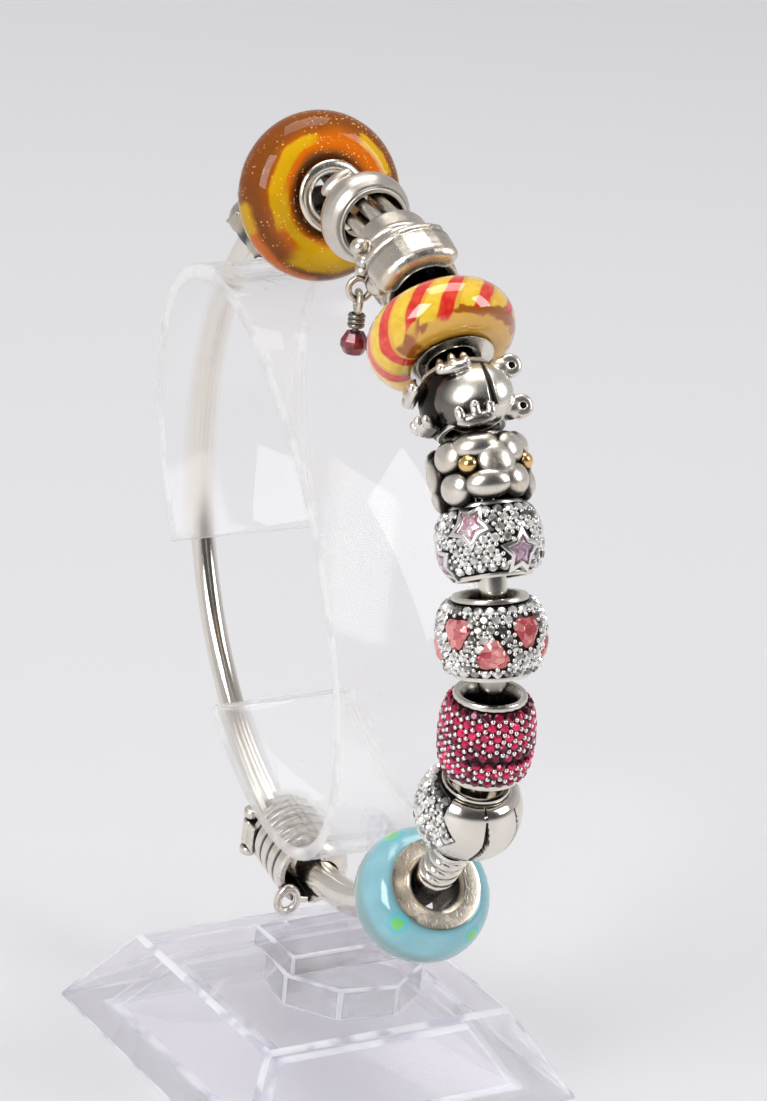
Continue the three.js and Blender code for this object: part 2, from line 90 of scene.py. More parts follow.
# ---- node work
class Graph:
    """A node tree with short ways to add and join nodes."""

    def __init__(self, tree: bpy.types.NodeTree) -> None:
        """Keeps the tree."""
        self.tree = tree

    def add(self, kind: str, settings: dict | None = None, inputs: dict | None = None) -> bpy.types.Node:
        """Adds a node.

        Args:
            kind: the node's type name.
            settings: properties of the node.
            inputs: values or output sockets for its inputs, by name or number.

        Returns:
            The new node.
        """
        node = self.tree.nodes.new(kind)
        for name, value in (settings or {}).items():
            setattr(node, name, value)
        self.wire(node, inputs or {})
        return node

    def wire(self, node: bpy.types.Node, inputs: dict) -> None:
        """Sets or joins a node's inputs.

        Args:
            node: the node.
            inputs: values or output sockets for its inputs, by name or number.
        """
        for key, value in inputs.items():
            if isinstance(value, Signal):
                self.tree.links.new(value, node.inputs[key])
            else:
                node.inputs[key].default_value = value

    def maths(self, operation: str, *values: object, clamp: bool = False) -> Signal:
        """One step of arithmetic."""
        node = self.add("ShaderNodeMath", {"operation": operation, "use_clamp": clamp}, dict(enumerate(values)))
        return node.outputs[0]

    def smooth(self, value: object, low: float, high: float) -> Signal:
        """Rises softly from 0 at low to 1 at high.

        Args:
            value: the socket that is tested.
            low: where the result is 0.
            high: where the result is 1.

        Returns:
            The mask's socket.
        """
        if low > high:
            return self.maths("SUBTRACT", 1.0, self.smooth(value, high, low))
        node = self.add("ShaderNodeMapRange", {"interpolation_type": "SMOOTHSTEP"},
                        {0: value, 1: low, 2: high, 3: 0.0, 4: 1.0})
        return node.outputs[0]

    def blend(self, factor: object, first: object, second: object, mode: str = "MIX") -> Signal:
        """Mixes two colours."""
        node = self.add("ShaderNodeMix", {"data_type": "RGBA", "blend_type": mode}, {0: factor, 6: first, 7: second})
        return node.outputs[2]

    def between(self, factor: object, first: object, second: object) -> Signal:
        """Mixes two numbers."""
        return self.add("ShaderNodeMix", {"data_type": "FLOAT"}, {0: factor, 2: first, 3: second}).outputs[0]

    def noise(self, place: object, scale: float, detail: float = 3.0, rough: float = 0.5) -> Signal:
        """Soft noise."""
        return self.add("ShaderNodeTexNoise", None,
                        {"Vector": place, "Scale": scale, "Detail": detail, "Roughness": rough}).outputs["Fac"]

    def around(self, place: object) -> tuple[Signal, ...]:
        """Splits coordinates about the tube's line.

        Args:
            place: coordinates in the piece's own frame.

        Returns:
            Radius, angle in degrees and height along the tube.
        """
        xyz = self.add("ShaderNodeSeparateXYZ", None, {0: place}).outputs
        radius = self.maths("SQRT", self.plus(self.times(xyz[0], xyz[0]), self.times(xyz[1], xyz[1])))
        angle = self.times(self.maths("ARCTAN2", xyz[1], xyz[0]), 180 / pi)
        return radius, angle, xyz[2]

    def near_angle(self, angle: object, centre: float, half: float, soft: float) -> Signal:
        """A mask that is 1 near an angle."""
        away = self.maths("ABSOLUTE", self.maths("WRAP", self.maths("SUBTRACT", angle, centre), 180.0, -180.0))
        return self.smooth(away, half + soft, half)

    def near(self, value: object, centre: float, half: float, soft: float) -> Signal:
        """A mask that is 1 near a value."""
        return self.smooth(self.maths("ABSOLUTE", self.maths("SUBTRACT", value, centre)), half + soft, half)

    def plus(self, first: object, second: object, clamp: bool = False) -> Signal:
        """A sum."""
        return self.maths("ADD", first, second, clamp=clamp)

    def scaled(self, value: object, share: object, shift: object) -> Signal:
        """A value times a share, plus a shift."""
        return self.maths("MULTIPLY_ADD", value, share, shift)

    def times(self, *values: object, clamp: bool = False) -> Signal:
        """The product of values, which for masks is where they all meet.

        Args:
            *values: sockets or numbers.
            clamp: keeps each step from 0 to 1.

        Returns:
            The product's socket.
        """
        result = values[0]
        for value in values[1:]:
            result = self.maths("MULTIPLY", result, value, clamp=clamp)
        return result


class Effects:
    """Shared effects, each one a node group with named inputs and outputs."""

    def __init__(self) -> None:
        """Builds the groups."""
        self.tarnish = self._tarnish()
        self.scuffs = self._scuffs()
        self.flecks = self._flecks()

    @staticmethod
    def _group(name: str, inputs: dict[str, tuple[Socket, object]],
               outputs: dict[str, Socket]) -> tuple[bpy.types.NodeTree, Graph, dict, bpy.types.Node]:
        """Starts a group.

        Args:
            name: the group's name.
            inputs: socket kinds and first values by name.
            outputs: socket kinds by name.

        Returns:
            The group, its graph, its input sockets by name and its output node.
        """
        tree = bpy.data.node_groups.new(name, "ShaderNodeTree")
        for label, (kind, value) in inputs.items():
            made = tree.interface.new_socket(name=label, in_out="INPUT", socket_type=kind.value)
            if value is not None:
                made.default_value = value
        for label, kind in outputs.items():
            tree.interface.new_socket(name=label, in_out="OUTPUT", socket_type=kind.value)
        graph = Graph(tree)
        start = graph.add("NodeGroupInput")
        end = graph.add("NodeGroupOutput")
        return tree, graph, {label: start.outputs[label] for label in inputs}, end

    def _tarnish(self) -> bpy.types.NodeTree:
        """Dark silver in the hollows and a cloudy film on the open surface.

        Returns:
            The node group.
        """
        tree, graph, given, end = self._group(
            "SilverTarnish",
            {"Place": (Socket.VECTOR, None), "Reach": (Socket.VALUE, 0.0006), "Depth": (Socket.VALUE, 0.8),
             "Film": (Socket.VALUE, 0.2), "Cloud Size": (Socket.VALUE, 0.6)},
            {"Hollow": Socket.VALUE, "Film": Socket.VALUE, "Height": Socket.VALUE})
        shade = graph.add("ShaderNodeAmbientOcclusion", {"samples": 6, "only_local": False},
                          {"Distance": given["Reach"]}).outputs["AO"]
        cloud = graph.noise(given["Place"], 1.0, 4.0, 0.6)
        graph.tree.links.new(given["Cloud Size"], cloud.node.inputs["Scale"])
        uneven = graph.scaled(cloud, 0.3, -0.15)
        hollow = graph.smooth(graph.plus(shade, uneven), 0.82, 0.38)
        fine = graph.noise(given["Place"], 9.0, 3.0, 0.6)
        film = graph.times(graph.smooth(cloud, 0.42, 0.7), graph.smooth(fine, 0.3, 0.65))
        links = graph.tree.links
        links.new(graph.times(hollow, given["Depth"], clamp=True), end.inputs["Hollow"])
        links.new(graph.times(film, given["Film"], clamp=True), end.inputs["Film"])
        links.new(graph.plus(graph.times(cloud, 0.6), fine), end.inputs["Height"])
        return tree

    def _scuffs(self) -> bpy.types.NodeTree:
        """Thin scratches in three directions and rubbed patches.

        Returns:
            The node group.
        """
        tree, graph, given, end = self._group(
            "FineScuffs",
            {"Place": (Socket.VECTOR, None), "Scale": (Socket.VALUE, 1.0), "Amount": (Socket.VALUE, 0.5)},
            {"Lines": Socket.VALUE, "Rubbed": Socket.VALUE})
        lines = None
        for turn, stretch in ((0.4, 14.0), (1.5, 11.0), (2.5, 17.0)):
            turned_place = graph.add("ShaderNodeMapping", None, {
                "Vector": given["Place"], "Rotation": (turn, turn * 0.7, turn),
                "Scale": (1.0, stretch, stretch * 0.6)}).outputs[0]
            streak = graph.noise(turned_place, 0.5, 2.0, 0.5)
            graph.tree.links.new(given["Scale"], streak.node.inputs["Scale"])
            mask = graph.smooth(streak, 0.69, 0.75)
            lines = mask if lines is None else graph.maths("MAXIMUM", lines, mask)
        patch = graph.smooth(graph.noise(given["Place"], 0.16, 3.0, 0.65), 0.5, 0.72)
        links = graph.tree.links
        links.new(graph.times(lines, given["Amount"], clamp=True), end.inputs["Lines"])
        links.new(graph.times(patch, given["Amount"], clamp=True), end.inputs["Rubbed"])
        return tree

    def _flecks(self) -> bpy.types.NodeTree:
        """Small round specks scattered through a surface.

        Returns:
            The node group.
        """
        tree, graph, given, end = self._group(
            "Flecks",
            {"Place": (Socket.VECTOR, None), "Scale": (Socket.VALUE, 2.0), "Size": (Socket.VALUE, 0.16)},
            {"Mask": Socket.VALUE})
        cells = graph.add("ShaderNodeTexVoronoi", {"feature": "F1"},
                          {"Vector": given["Place"], "Scale": given["Scale"]})
        chosen = graph.add("ShaderNodeSeparateColor", None, {0: cells.outputs["Color"]}).outputs[0]
        inside = graph.maths("LESS_THAN", cells.outputs["Distance"], graph.times(given["Size"], chosen))
        graph.tree.links.new(inside, end.inputs["Mask"])
        return tree


class Paint(Graph):
    """The graph of one material, with its shader and the place on the piece."""

    def __init__(self, name: str, effects: Effects) -> None:
        """Starts a material.

        Args:
            name: the material's name.
            effects: the shared node groups.
        """
        self.material = bpy.data.materials.new(name)
        self.material.use_nodes = True
        super().__init__(self.material.node_tree)
        self.shader = self.tree.nodes["Principled BSDF"]
        self.effects = effects
        self.place = self.add("ShaderNodeAttribute", {"attribute_name": "maker_mm"}).outputs["Vector"]

    def effect(self, name: str, **inputs: object) -> bpy.types.bpy_prop_collection:
        """The outputs of a shared effect; a space in an input's name is written as an underscore."""
        named = {label.replace("_", " "): value for label, value in inputs.items()}
        return self.add("ShaderNodeGroup", {"node_tree": getattr(self.effects, name)},
                        {"Place": self.place, **named}).outputs

    def surface(self, inputs: dict) -> None:
        """Sets or joins inputs of the shader."""
        self.wire(self.shader, inputs)

    def let_light_through(self, tint: Colour) -> None:
        """Lets light pass through a clear piece without a hard dark shadow.

        Args:
            tint: colour of the light that passes.
        """
        clear = self.add("ShaderNodeBsdfTransparent", None, {"Color": tint})
        path = self.add("ShaderNodeLightPath")
        mixed = self.add("ShaderNodeMixShader", None, {
            0: path.outputs["Is Shadow Ray"], 1: self.shader.outputs[0], 2: clear.outputs[0]})
        self.tree.links.new(mixed.outputs[0], self.tree.nodes["Material Output"].inputs["Surface"])


@dataclass(frozen=True)
class Finish:
    """What every finish has: a name and a way to paint its material."""

    name: str

    def material(self, effects: Effects) -> bpy.types.Material:
        """Makes the material.

        Args:
            effects: the shared node groups.

        Returns:
            The finished material.
        """
        graph = Paint(self.name, effects)
        self.paint(graph)
        return graph.material

    def paint(self, graph: Paint) -> None:
        """Paints the surface.

        Args:
            graph: the material's graph.
        """
        raise NotImplementedError


@dataclass(frozen=True)
class Silver(Finish):
    """Silver, polished where it is touched and dark where it isn't, and blackened where a piece is marked with oxide or
    painted shade.
    """

    bright: Colour = (0.84, 0.795, 0.72, 1)
    dark: Colour = (0.035, 0.03, 0.026, 1)
    warm: Colour = (0.62, 0.52, 0.38, 1)
    roughness: float = 0.16
    reach: float = 0.0007
    depth: float = 0.9
    film: float = 0.35
    clouds: float = 0.55
    scratches: float = 0.35
    bump: float = 0.05

    def paint(self, graph: Paint) -> None:
        """Paints the surface.

        Args:
            graph: the material's graph.
        """
        tarnish = graph.effect("tarnish", Reach=self.reach, Depth=self.depth, Film=self.film, Cloud_Size=self.clouds)
        scuffs = graph.effect("scuffs", Scale=1.2, Amount=self.scratches)
        colour = graph.blend(tarnish["Film"], self.bright, self.warm)
        colour = graph.blend(tarnish["Hollow"], colour, self.dark)
        # blackens the marked parts: oxide on some pieces, painted shade in bores, mouths, creases and gaps on others
        oxide_and_painted_shade = graph.add("ShaderNodeAttribute", {"attribute_name": "oxide_and_painted_shade"}).outputs["Fac"]
        colour = graph.blend(oxide_and_painted_shade, colour, self.dark)
        rough = graph.plus(self.roughness, graph.times(tarnish["Film"], 0.35))
        rough = graph.plus(rough, graph.times(scuffs["Lines"], 0.25))
        rough = graph.plus(rough, graph.times(tarnish["Hollow"], 0.3), clamp=True)
        height = graph.maths("SUBTRACT", graph.times(tarnish["Height"], 0.4), scuffs["Lines"])
        bump = graph.add("ShaderNodeBump", None, {"Strength": self.bump, "Distance": 0.0001, "Height": height})
        graph.surface({"Base Color": colour, "Roughness": rough, "Normal": bump.outputs[0], "Metallic": 1.0})


@dataclass(frozen=True)
class Acrylic(Finish):
    """Clear moulded acrylic with scuffs, dust and a faint tint."""

    tint: Colour = (0.975, 0.972, 0.99, 1)
    roughness: float = 0.03
    haze: float = 0.25
    scuff: float = 0.5
    body: float = 0.5
    index: float = 1.2
    coat: float = 0.2
    glued: float = 0.0
    glue_height: float = 70.0

    def paint(self, graph: Paint) -> None:
        """Paints the surface.

        Args:
            graph: the material's graph.
        """
        place = graph.place
        scuffs = graph.effect("scuffs", Scale=0.5, Amount=self.scuff)
        dust = graph.effect("flecks", Scale=0.35, Size=0.05)
        rough = graph.plus(self.roughness, graph.times(scuffs["Rubbed"], self.haze))
        rough = graph.plus(rough, graph.times(scuffs["Lines"], 0.4), clamp=True)
        height = graph.times(scuffs["Lines"], -1.0)
        if self.glued > 0:
            up = graph.add("ShaderNodeSeparateXYZ", None, {0: place}).outputs[2]
            ripple = graph.noise(place, 0.55, 3.0, 0.6)
            smear = graph.times(graph.smooth(up, self.glue_height, self.glue_height + 4.0),
                               graph.smooth(graph.noise(place, 0.25, 2.0, 0.5), 0.45, 0.6))
            height = graph.plus(height, graph.times(ripple, smear, self.glued * 9.0))
            rough = graph.plus(rough, graph.times(smear, 0.12), clamp=True)
        colour = graph.blend(dust["Mask"], self.tint, (0.35, 0.33, 0.32, 1))
        bump = graph.add("ShaderNodeBump", None, {"Strength": 0.25, "Distance": 0.0001, "Height": height})
        graph.surface({"Base Color": colour, "Roughness": rough, "Normal": bump.outputs[0],
            "Transmission Weight": 0.9, "IOR": self.index, "Coat Weight": self.coat, "Coat Roughness": 0.04,
            "Alpha": self.body})
        graph.let_light_through(self.tint)


@dataclass(frozen=True)
class AcrylicEdge(Finish):
    """The edges of clear acrylic, painted pale as a painted highlight where they gather light, with patches of painted
    shade.
    """

    pale: Colour = (0.97, 0.97, 1.0, 1)
    shaded: Colour = (0.55, 0.54, 0.64, 1)
    body: float = 0.7

    def paint(self, graph: Paint) -> None:
        """Paints the surface.

        Args:
            graph: the material's graph.
        """
        place = graph.place
        scuffs = graph.effect("scuffs", Scale=0.8, Amount=0.5)
        # painted highlight along the edges, broken by patches of painted shade
        colour = graph.blend(graph.smooth(graph.noise(place, 0.22, 2.0), 0.48, 0.62), self.pale, self.shaded)
        rough = graph.scaled(scuffs["Rubbed"], 0.25, 0.1)
        graph.surface({"Base Color": colour, "Roughness": rough, "Transmission Weight": 0.35, "IOR": 1.45,
            "Alpha": self.body})
        graph.let_light_through(self.pale)


@dataclass(frozen=True)
class ClearGlass(Finish):
    """The clear outer layer of a glass bead."""

    tint: Colour = (0.97, 0.84, 0.42, 1)
    roughness: float = 0.02

    def paint(self, graph: Paint) -> None:
        """Paints the surface.

        Args:
            graph: the material's graph.
        """
        place = graph.place
        scuffs = graph.effect("scuffs", Scale=1.6, Amount=0.35)
        rough = graph.plus(self.roughness, graph.times(scuffs["Lines"], 0.2))
        streaks = graph.blend(graph.smooth(graph.noise(place, 0.5, 3.0), 0.4, 0.7), self.tint,
                              tuple(c * 0.9 for c in self.tint[:3]) + (1,))
        graph.surface({"Base Color": streaks, "Roughness": rough, "Transmission Weight": 1.0, "IOR": 1.33})
        graph.let_light_through(self.tint)


@dataclass(frozen=True)
class AmberSwirl(Finish):
    """The coloured body inside the amber bead: brown, orange and yellow with gold specks."""

    brown: Colour = (0.20, 0.055, 0.003, 1)
    orange: Colour = (0.66, 0.17, 0.003, 1)
    yellow: Colour = (0.62, 0.42, 0.006, 1)
    umber: Colour = (0.09, 0.03, 0.008, 1)
    gold: Colour = (0.95, 0.72, 0.42, 1)

    def paint(self, graph: Paint) -> None:
        """Paints the surface.

        Args:
            graph: the material's graph.
        """
        place = graph.place
        wave = graph.noise(place, 0.3, 2.0)
        radius, angle, height = graph.around(place)
        angle = graph.plus(angle, graph.scaled(wave, 24.0, -12.0))
        radius = graph.plus(radius, graph.scaled(wave, 1.0, -0.5))
        face = graph.smooth(height, 0.0, 0.8)
        colour = graph.blend(graph.smooth(radius, 7.4, 5.4), self.brown, self.orange)
        colour = graph.blend(graph.smooth(radius, 5.0, 3.9), colour, self.umber)
        arcs = (  # middle angle, half width, its softness, radius, half height, its softness
            (66.0, 46.0, 10.0, 5.9, 0.45, 0.3), (120.0, 24.0, 30.0, 5.3, 0.3, 0.4), (-52.0, 17.0, 8.0, 6.6, 0.3, 0.35),
            (176.0, 26.0, 14.0, 6.2, 1.0, 0.6))
        for middle, half, soft, out, high, edge in arcs:
            arc = graph.times(graph.near_angle(angle, middle, half, soft), graph.near(radius, out, high, edge), face)
            colour = graph.blend(arc, colour, self.yellow)
        low = graph.smooth(height, 1.4, 0.4)
        outer = graph.smooth(radius, 6.6, 7.2)
        for middle, half, tint in ((118.0, 16.0, self.orange), (104.0, 10.0, self.yellow), (150.0, 24.0, self.orange),
                                   (-110.0, 30.0, self.yellow)):
            patch = graph.times(graph.near_angle(angle, middle, half, 4.0), low, outer)
            colour = graph.blend(patch, colour, tint)
        flecks = graph.effect("flecks", Scale=3.4, Size=0.3)
        where = graph.smooth(graph.noise(place, 0.4, 2.0), 0.42, 0.56)
        colour = graph.blend(graph.times(flecks["Mask"], where), colour, self.gold)
        graph.surface({"Base Color": colour, "Roughness": 0.5, "Specular IOR Level": 0.15,
            "Subsurface Weight": 0.2, "Subsurface Radius": (0.002, 0.001, 0.0004), "Subsurface Scale": 1.0})


@dataclass(frozen=True)
class StripedGlass(Finish):
    """Honey glass with slanting red and yellow bars under a clear skin."""

    honey: Colour = (0.70, 0.34, 0.025, 1)
    pale: Colour = (0.90, 0.54, 0.08, 1)
    red: Colour = (0.72, 0.02, 0.012, 1)
    yellow: Colour = (0.9, 0.55, 0.02, 1)
    brown: Colour = (0.42, 0.12, 0.012, 1)
    bars: int = 12

    def paint(self, graph: Paint) -> None:
        """Paints the surface.

        Args:
            graph: the material's graph.
        """
        place = graph.place
        wave = graph.noise(place, 0.3, 2.0)
        _, angle, height = graph.around(place)
        slant = graph.plus(angle, graph.times(height, -6.5))
        slant = graph.plus(slant, graph.scaled(wave, 12.0, -6.0))
        turn = graph.times(slant, self.bars / 360.0)
        step = graph.maths("FRACT", turn)
        odd = graph.add("ShaderNodeTexWhiteNoise", {"noise_dimensions": "1D"},
                        {"W": graph.maths("FLOOR", turn)}).outputs["Value"]
        red = graph.near(step, 0.3, 0.17, 0.05)
        yellow = graph.near(step, 0.76, 0.2, 0.06)
        inner = graph.smooth(graph.noise(place, 1.2, 2.0), 0.35, 0.65)
        end = graph.plus(height, graph.scaled(odd, -1.2, 0.6))
        end = graph.maths("SUBTRACT", end, graph.times(graph.smooth(angle, 35.0, 85.0), 1.0))
        end = graph.plus(end, graph.scaled(graph.noise(place, 0.8, 1.0), 1.2, -0.6))
        on = graph.smooth(end, 2.1, 1.85)
        ground = graph.blend(graph.noise(place, 0.5, 3.0), self.honey, self.pale)
        shade = graph.times(graph.near(end, 2.3, 0.35, 0.3), graph.smooth(graph.noise(place, 0.22, 1.0), 0.54, 0.57))
        ground = graph.blend(shade, ground, self.brown)
        colour = graph.blend(graph.times(on, yellow), ground, graph.blend(inner, self.yellow, (0.95, 0.66, 0.06, 1)))
        colour = graph.blend(graph.times(on, red), colour, graph.blend(inner, self.red, (0.85, 0.07, 0.03, 1)))
        scuffs = graph.effect("scuffs", Scale=1.5, Amount=0.4)
        rough = graph.plus(0.08, graph.times(scuffs["Lines"], 0.3))
        graph.surface({"Base Color": colour, "Roughness": rough, "Subsurface Weight": 0.25,
            "Subsurface Radius": (0.002, 0.001, 0.0004), "Subsurface Scale": 0.6, "Coat Weight": 1.0,
            "Coat Roughness": 0.03})


@dataclass(frozen=True)
class DottedGlass(Finish):
    """Milky blue glass with dots, a green edge and old scratches."""

    blue: Colour = (0.25, 0.53, 0.60, 1)
    edge: Colour = (0.20, 0.34, 0.30, 1)
    ring: Colour = (0.16, 0.58, 0.66, 1)
    core: Colour = (0.22, 0.66, 0.16, 1)
    dots: tuple[tuple[float, float, float, float], ...] = (
        (156.0, 6.1, -1.7, 1.5), (56.0, 5.4, -2.75, 1.2), (-30.0, 6.0, -2.4, 1.15),
        (-100.0, 6.0, -1.8, 1.2), (100.0, 6.0, 1.9, 1.0), (10.0, 6.2, 1.6, 1.0), (-70.0, 5.8, 2.0, 1.0),
        (-160.0, 6.0, 2.0, 1.0))

    def paint(self, graph: Paint) -> None:
        """Paints the surface.

        Args:
            graph: the material's graph.
        """
        place = graph.place
        radius, _, height = graph.around(place)
        cloud = graph.noise(place, 0.35, 3.0)
        colour = graph.blend(graph.smooth(cloud, 0.35, 0.7), self.blue, (0.31, 0.60, 0.67, 1))
        colour = graph.blend(graph.smooth(radius, 5.0, 4.2), colour, self.edge)
        belt = graph.times(graph.smooth(graph.maths("ABSOLUTE", height), 1.7, 0.3), 0.75)
        colour = graph.blend(belt, colour, self.edge)
        wander = graph.blend(0.12, place, graph.add("ShaderNodeTexNoise", None, {
            "Vector": place, "Scale": 0.9, "Detail": 2.0}).outputs["Color"], "ADD")
        for angle, out, along, size in self.dots:
            spot = (out * cos(radians(angle)) + 0.06, out * sin(radians(angle)) + 0.06, along + 0.06)
            far = graph.add("ShaderNodeVectorMath", {"operation": "DISTANCE"}, {0: wander, 1: spot}).outputs["Value"]
            colour = graph.blend(graph.smooth(far, size, size * 0.86), colour, self.ring)
            colour = graph.blend(graph.smooth(far, size * 0.72, size * 0.4), colour, self.core)
        scuffs = graph.effect("scuffs", Scale=0.9, Amount=0.8)
        pits = graph.effect("flecks", Scale=1.8, Size=0.09)
        marks = graph.maths("MAXIMUM", graph.times(scuffs["Lines"], scuffs["Rubbed"]), pits["Mask"])
        colour = graph.blend(marks, colour, (0.05, 0.09, 0.09, 1))
        rough = graph.plus(0.1, graph.times(marks, 0.4))
        bump = graph.add("ShaderNodeBump", None, {
            "Strength": 0.2, "Distance": 0.0001, "Height": graph.times(marks, -1.0)})
        graph.surface({"Base Color": colour, "Roughness": rough, "Normal": bump.outputs[0],
            "Subsurface Weight": 0.35, "Subsurface Radius": (0.001, 0.002, 0.002), "Subsurface Scale": 0.8,
            "Coat Weight": 0.8, "Coat Roughness": 0.05})


@dataclass(frozen=True)
class Gem(Finish):
    """A faceted stone whose facets flash and whose colour varies from stone to stone: each facet and each stone is
    painted between a dark and a bright tint, as painted glints and reflections.
    """

    # deep and flash: a facet's tint in painted shade and in a painted glint
    deep: Colour = (0.10, 0.095, 0.09, 1)
    flash: Colour = (0.98, 0.965, 0.93, 1)
    metallic: float = 0.6
    size: float = 0.9
    # heights along the tube where a band of stones is painted brighter, as a painted highlight
    lit: tuple[float, ...] = ()

    def paint(self, graph: Paint) -> None:
        """Paints the surface.

        Args:
            graph: the material's graph.
        """
        place = graph.place
        cells = graph.add("ShaderNodeTexVoronoi", None, {"Vector": place, "Scale": 1.7 / self.size})
        facet = graph.add("ShaderNodeSeparateColor", None, {0: cells.outputs["Color"]}).outputs[0]
        own = graph.add("ShaderNodeAttribute", {"attribute_name": "shade"}).outputs["Fac"]
        shade = graph.between(0.55, facet, own)
        if self.lit:
            height = graph.around(place)[2]
            painted_highlight_band = graph.near(height, self.lit[0], 0.3, 0.6)
            for middle in self.lit[1:]:
                painted_highlight_band = graph.maths("MAXIMUM", painted_highlight_band, graph.near(height, middle, 0.3, 0.6))
            shade = graph.scaled(shade, 0.75, graph.scaled(painted_highlight_band, 0.3, -0.2))
        # painted glints: each facet and stone is painted between the dark and the bright tint
        colour = graph.blend(graph.smooth(shade, 0.05, 0.66), self.deep, self.flash)
        tilt = graph.add("ShaderNodeBump", None, {
            "Strength": 0.25, "Distance": 0.0001, "Height": cells.outputs["Distance"]})
        graph.surface({"Base Color": colour, "Normal": tilt.outputs[0], "Metallic": self.metallic,
                       "Roughness": 0.08, "IOR": 1.6,
            "Coat Weight": 0.3})


@dataclass(frozen=True)
class Gold(Silver):
    """Small gold balls."""

    bright: Colour = (0.86, 0.58, 0.25, 1)
    warm: Colour = (0.7, 0.42, 0.14, 1)
    dark: Colour = (0.12, 0.06, 0.02, 1)


@dataclass
class Workshop:
    """Materials by finish, made once."""

    effects: Effects
    made: dict[str, bpy.types.Material] = field(default_factory=dict)

    def dress(self, piece: Piece, *finishes: Finish) -> None:
        """Gives a piece its materials.

        Args:
            piece: the piece.
            finishes: its finishes, in the order of its material slots.
        """
        faces = piece.data.polygons
        slots = [min(face.material_index, len(finishes) - 1) for face in faces]
        piece.data.materials.clear()
        for finish in finishes:
            if finish.name not in self.made:
                self.made[finish.name] = finish.material(self.effects)
            piece.data.materials.append(self.made[finish.name])
        faces.foreach_set("material_index", slots)


# ---- bench work
def pick(*pieces: Piece) -> None:
    """Selects only these pieces and makes the first one active.

    Args:
        *pieces: the pieces.
    """
    bpy.ops.object.select_all(action="DESELECT")
    for piece in pieces:
        piece.select_set(True)
    if pieces:
        bpy.context.view_layer.objects.active = pieces[0]


def latest(name: str) -> Piece:
    """The piece that the last operator added, with a name.

    Args:
        name: the piece's new name.

    Returns:
        The piece.
    """
    piece = bpy.context.object
    piece.name = piece.data.name = name
    return piece


def primitive(name: str, add: Callable[..., object], **sizes: object) -> Piece:
    """Adds a primitive with nothing else selected.

    Args:
        name: the piece's name.
        add: the operator that adds it.
        **sizes: the operator's settings.

    Returns:
        The piece.
    """
    bpy.ops.object.select_all(action="DESELECT")
    add(**sizes)
    return latest(name)


def edit(piece: Piece) -> None:
    """Opens a piece in edit mode."""
    pick(piece)
    bpy.ops.object.mode_set(mode="EDIT")


def close() -> None:
    """Leaves edit mode."""
    bpy.ops.object.mode_set(mode="OBJECT")


def extrude(*step: float) -> None:
    """Extrudes the selected faces or edges."""
    bpy.ops.mesh.extrude_region_move(TRANSFORM_OT_translate={"value": step})


def widen(share: float, centre: Sequence[float] = (0, 0, 0)) -> None:
    """Scales the selection in X and Y about a centre."""
    bpy.ops.transform.resize(value=(share, share, 1), center_override=centre)


def tidy_faces(doubles: float = 0.0) -> None:
    """Turns all faces outwards.

    Args:
        doubles: points closer than this are merged first.
    """
    bpy.ops.mesh.select_all(action="SELECT")
    if doubles:
        bpy.ops.mesh.remove_doubles(threshold=doubles)
    bpy.ops.mesh.normals_make_consistent(inside=False)


def smooth(piece: Piece, degrees: float = 35.0) -> Piece:
    """Smooths the shading where faces meet gently.

    Args:
        piece: the piece.
        degrees: faces that meet at less than this are shaded as one.

    Returns:
        The same piece.
    """
    pick(piece)
    bpy.ops.object.shade_smooth_by_angle(angle=radians(degrees))
    return piece


def apply(piece: Piece, kind: str, **settings: object) -> Piece:
    """Adds a modifier and applies it.

    Args:
        piece: the piece.
        kind: the modifier's type.
        **settings: the modifier's properties.

    Returns:
        The piece.
    """
    modifier = piece.modifiers.new(kind.title(), kind)
    for name, value in settings.items():
        setattr(modifier, name, value)
    pick(piece)
    bpy.ops.object.modifier_apply(modifier=modifier.name)
    return piece


def two_slots(piece: Piece) -> None:
    """Gives a piece an empty second material slot, for its edges."""
    piece.data.materials.append(None)
    piece.data.materials.append(None)


def choose(piece: Piece, test: Callable[[bpy.types.MeshPolygon], bool]) -> None:
    """In edit mode, selects only the faces that pass a test.

    Args:
        piece: the piece in edit mode.
        test: told each face.
    """
    bpy.ops.mesh.select_mode(type="FACE")
    bpy.ops.mesh.select_all(action="DESELECT")
    close()
    for face in piece.data.polygons:
        face.select = test(face)
    edit(piece)


def drawn(name: str, points: Sequence[Sequence[float]]) -> Piece:
    """Draws a line through points and leaves it selected in edit mode.

    Args:
        name: the piece's name.
        points: the line's points.

    Returns:
        The piece.
    """
    piece = primitive(name, bpy.ops.mesh.primitive_plane_add, size=1)
    edit(piece)
    bpy.ops.mesh.select_mode(type="VERT")
    bpy.ops.mesh.merge(type="CENTER")
    bpy.ops.transform.translate(value=points[0])
    for first, second in zip(points, points[1:]):
        step = [end - start for start, end in zip(first, second)]
        bpy.ops.mesh.extrude_vertices_move(TRANSFORM_OT_translate={"value": step})
    bpy.ops.mesh.select_all(action="SELECT")
    return piece


def turned(name: str, profile: Profile, sides: int = 48, ring: bool = False, sharp: float = 35.0) -> Piece:
    """Turns a profile round the Z axis.

    Args:
        name: the piece's name.
        profile: radius and height of each point.
        sides: steps round the axis.
        ring: joins the last point to the first.
        sharp: edges bent further than this stay crisp.

    Returns:
        The piece.
    """
    points = [(radius, 0, height) for radius, height in profile]
    piece = drawn(name, [*points, points[0]] if ring else points)
    bpy.ops.mesh.spin(steps=sides, angle=2 * pi, center=(0, 0, 0), axis=(0, 0, 1))
    tidy_faces(0.0005)
    close()
    return smooth(piece, sharp)


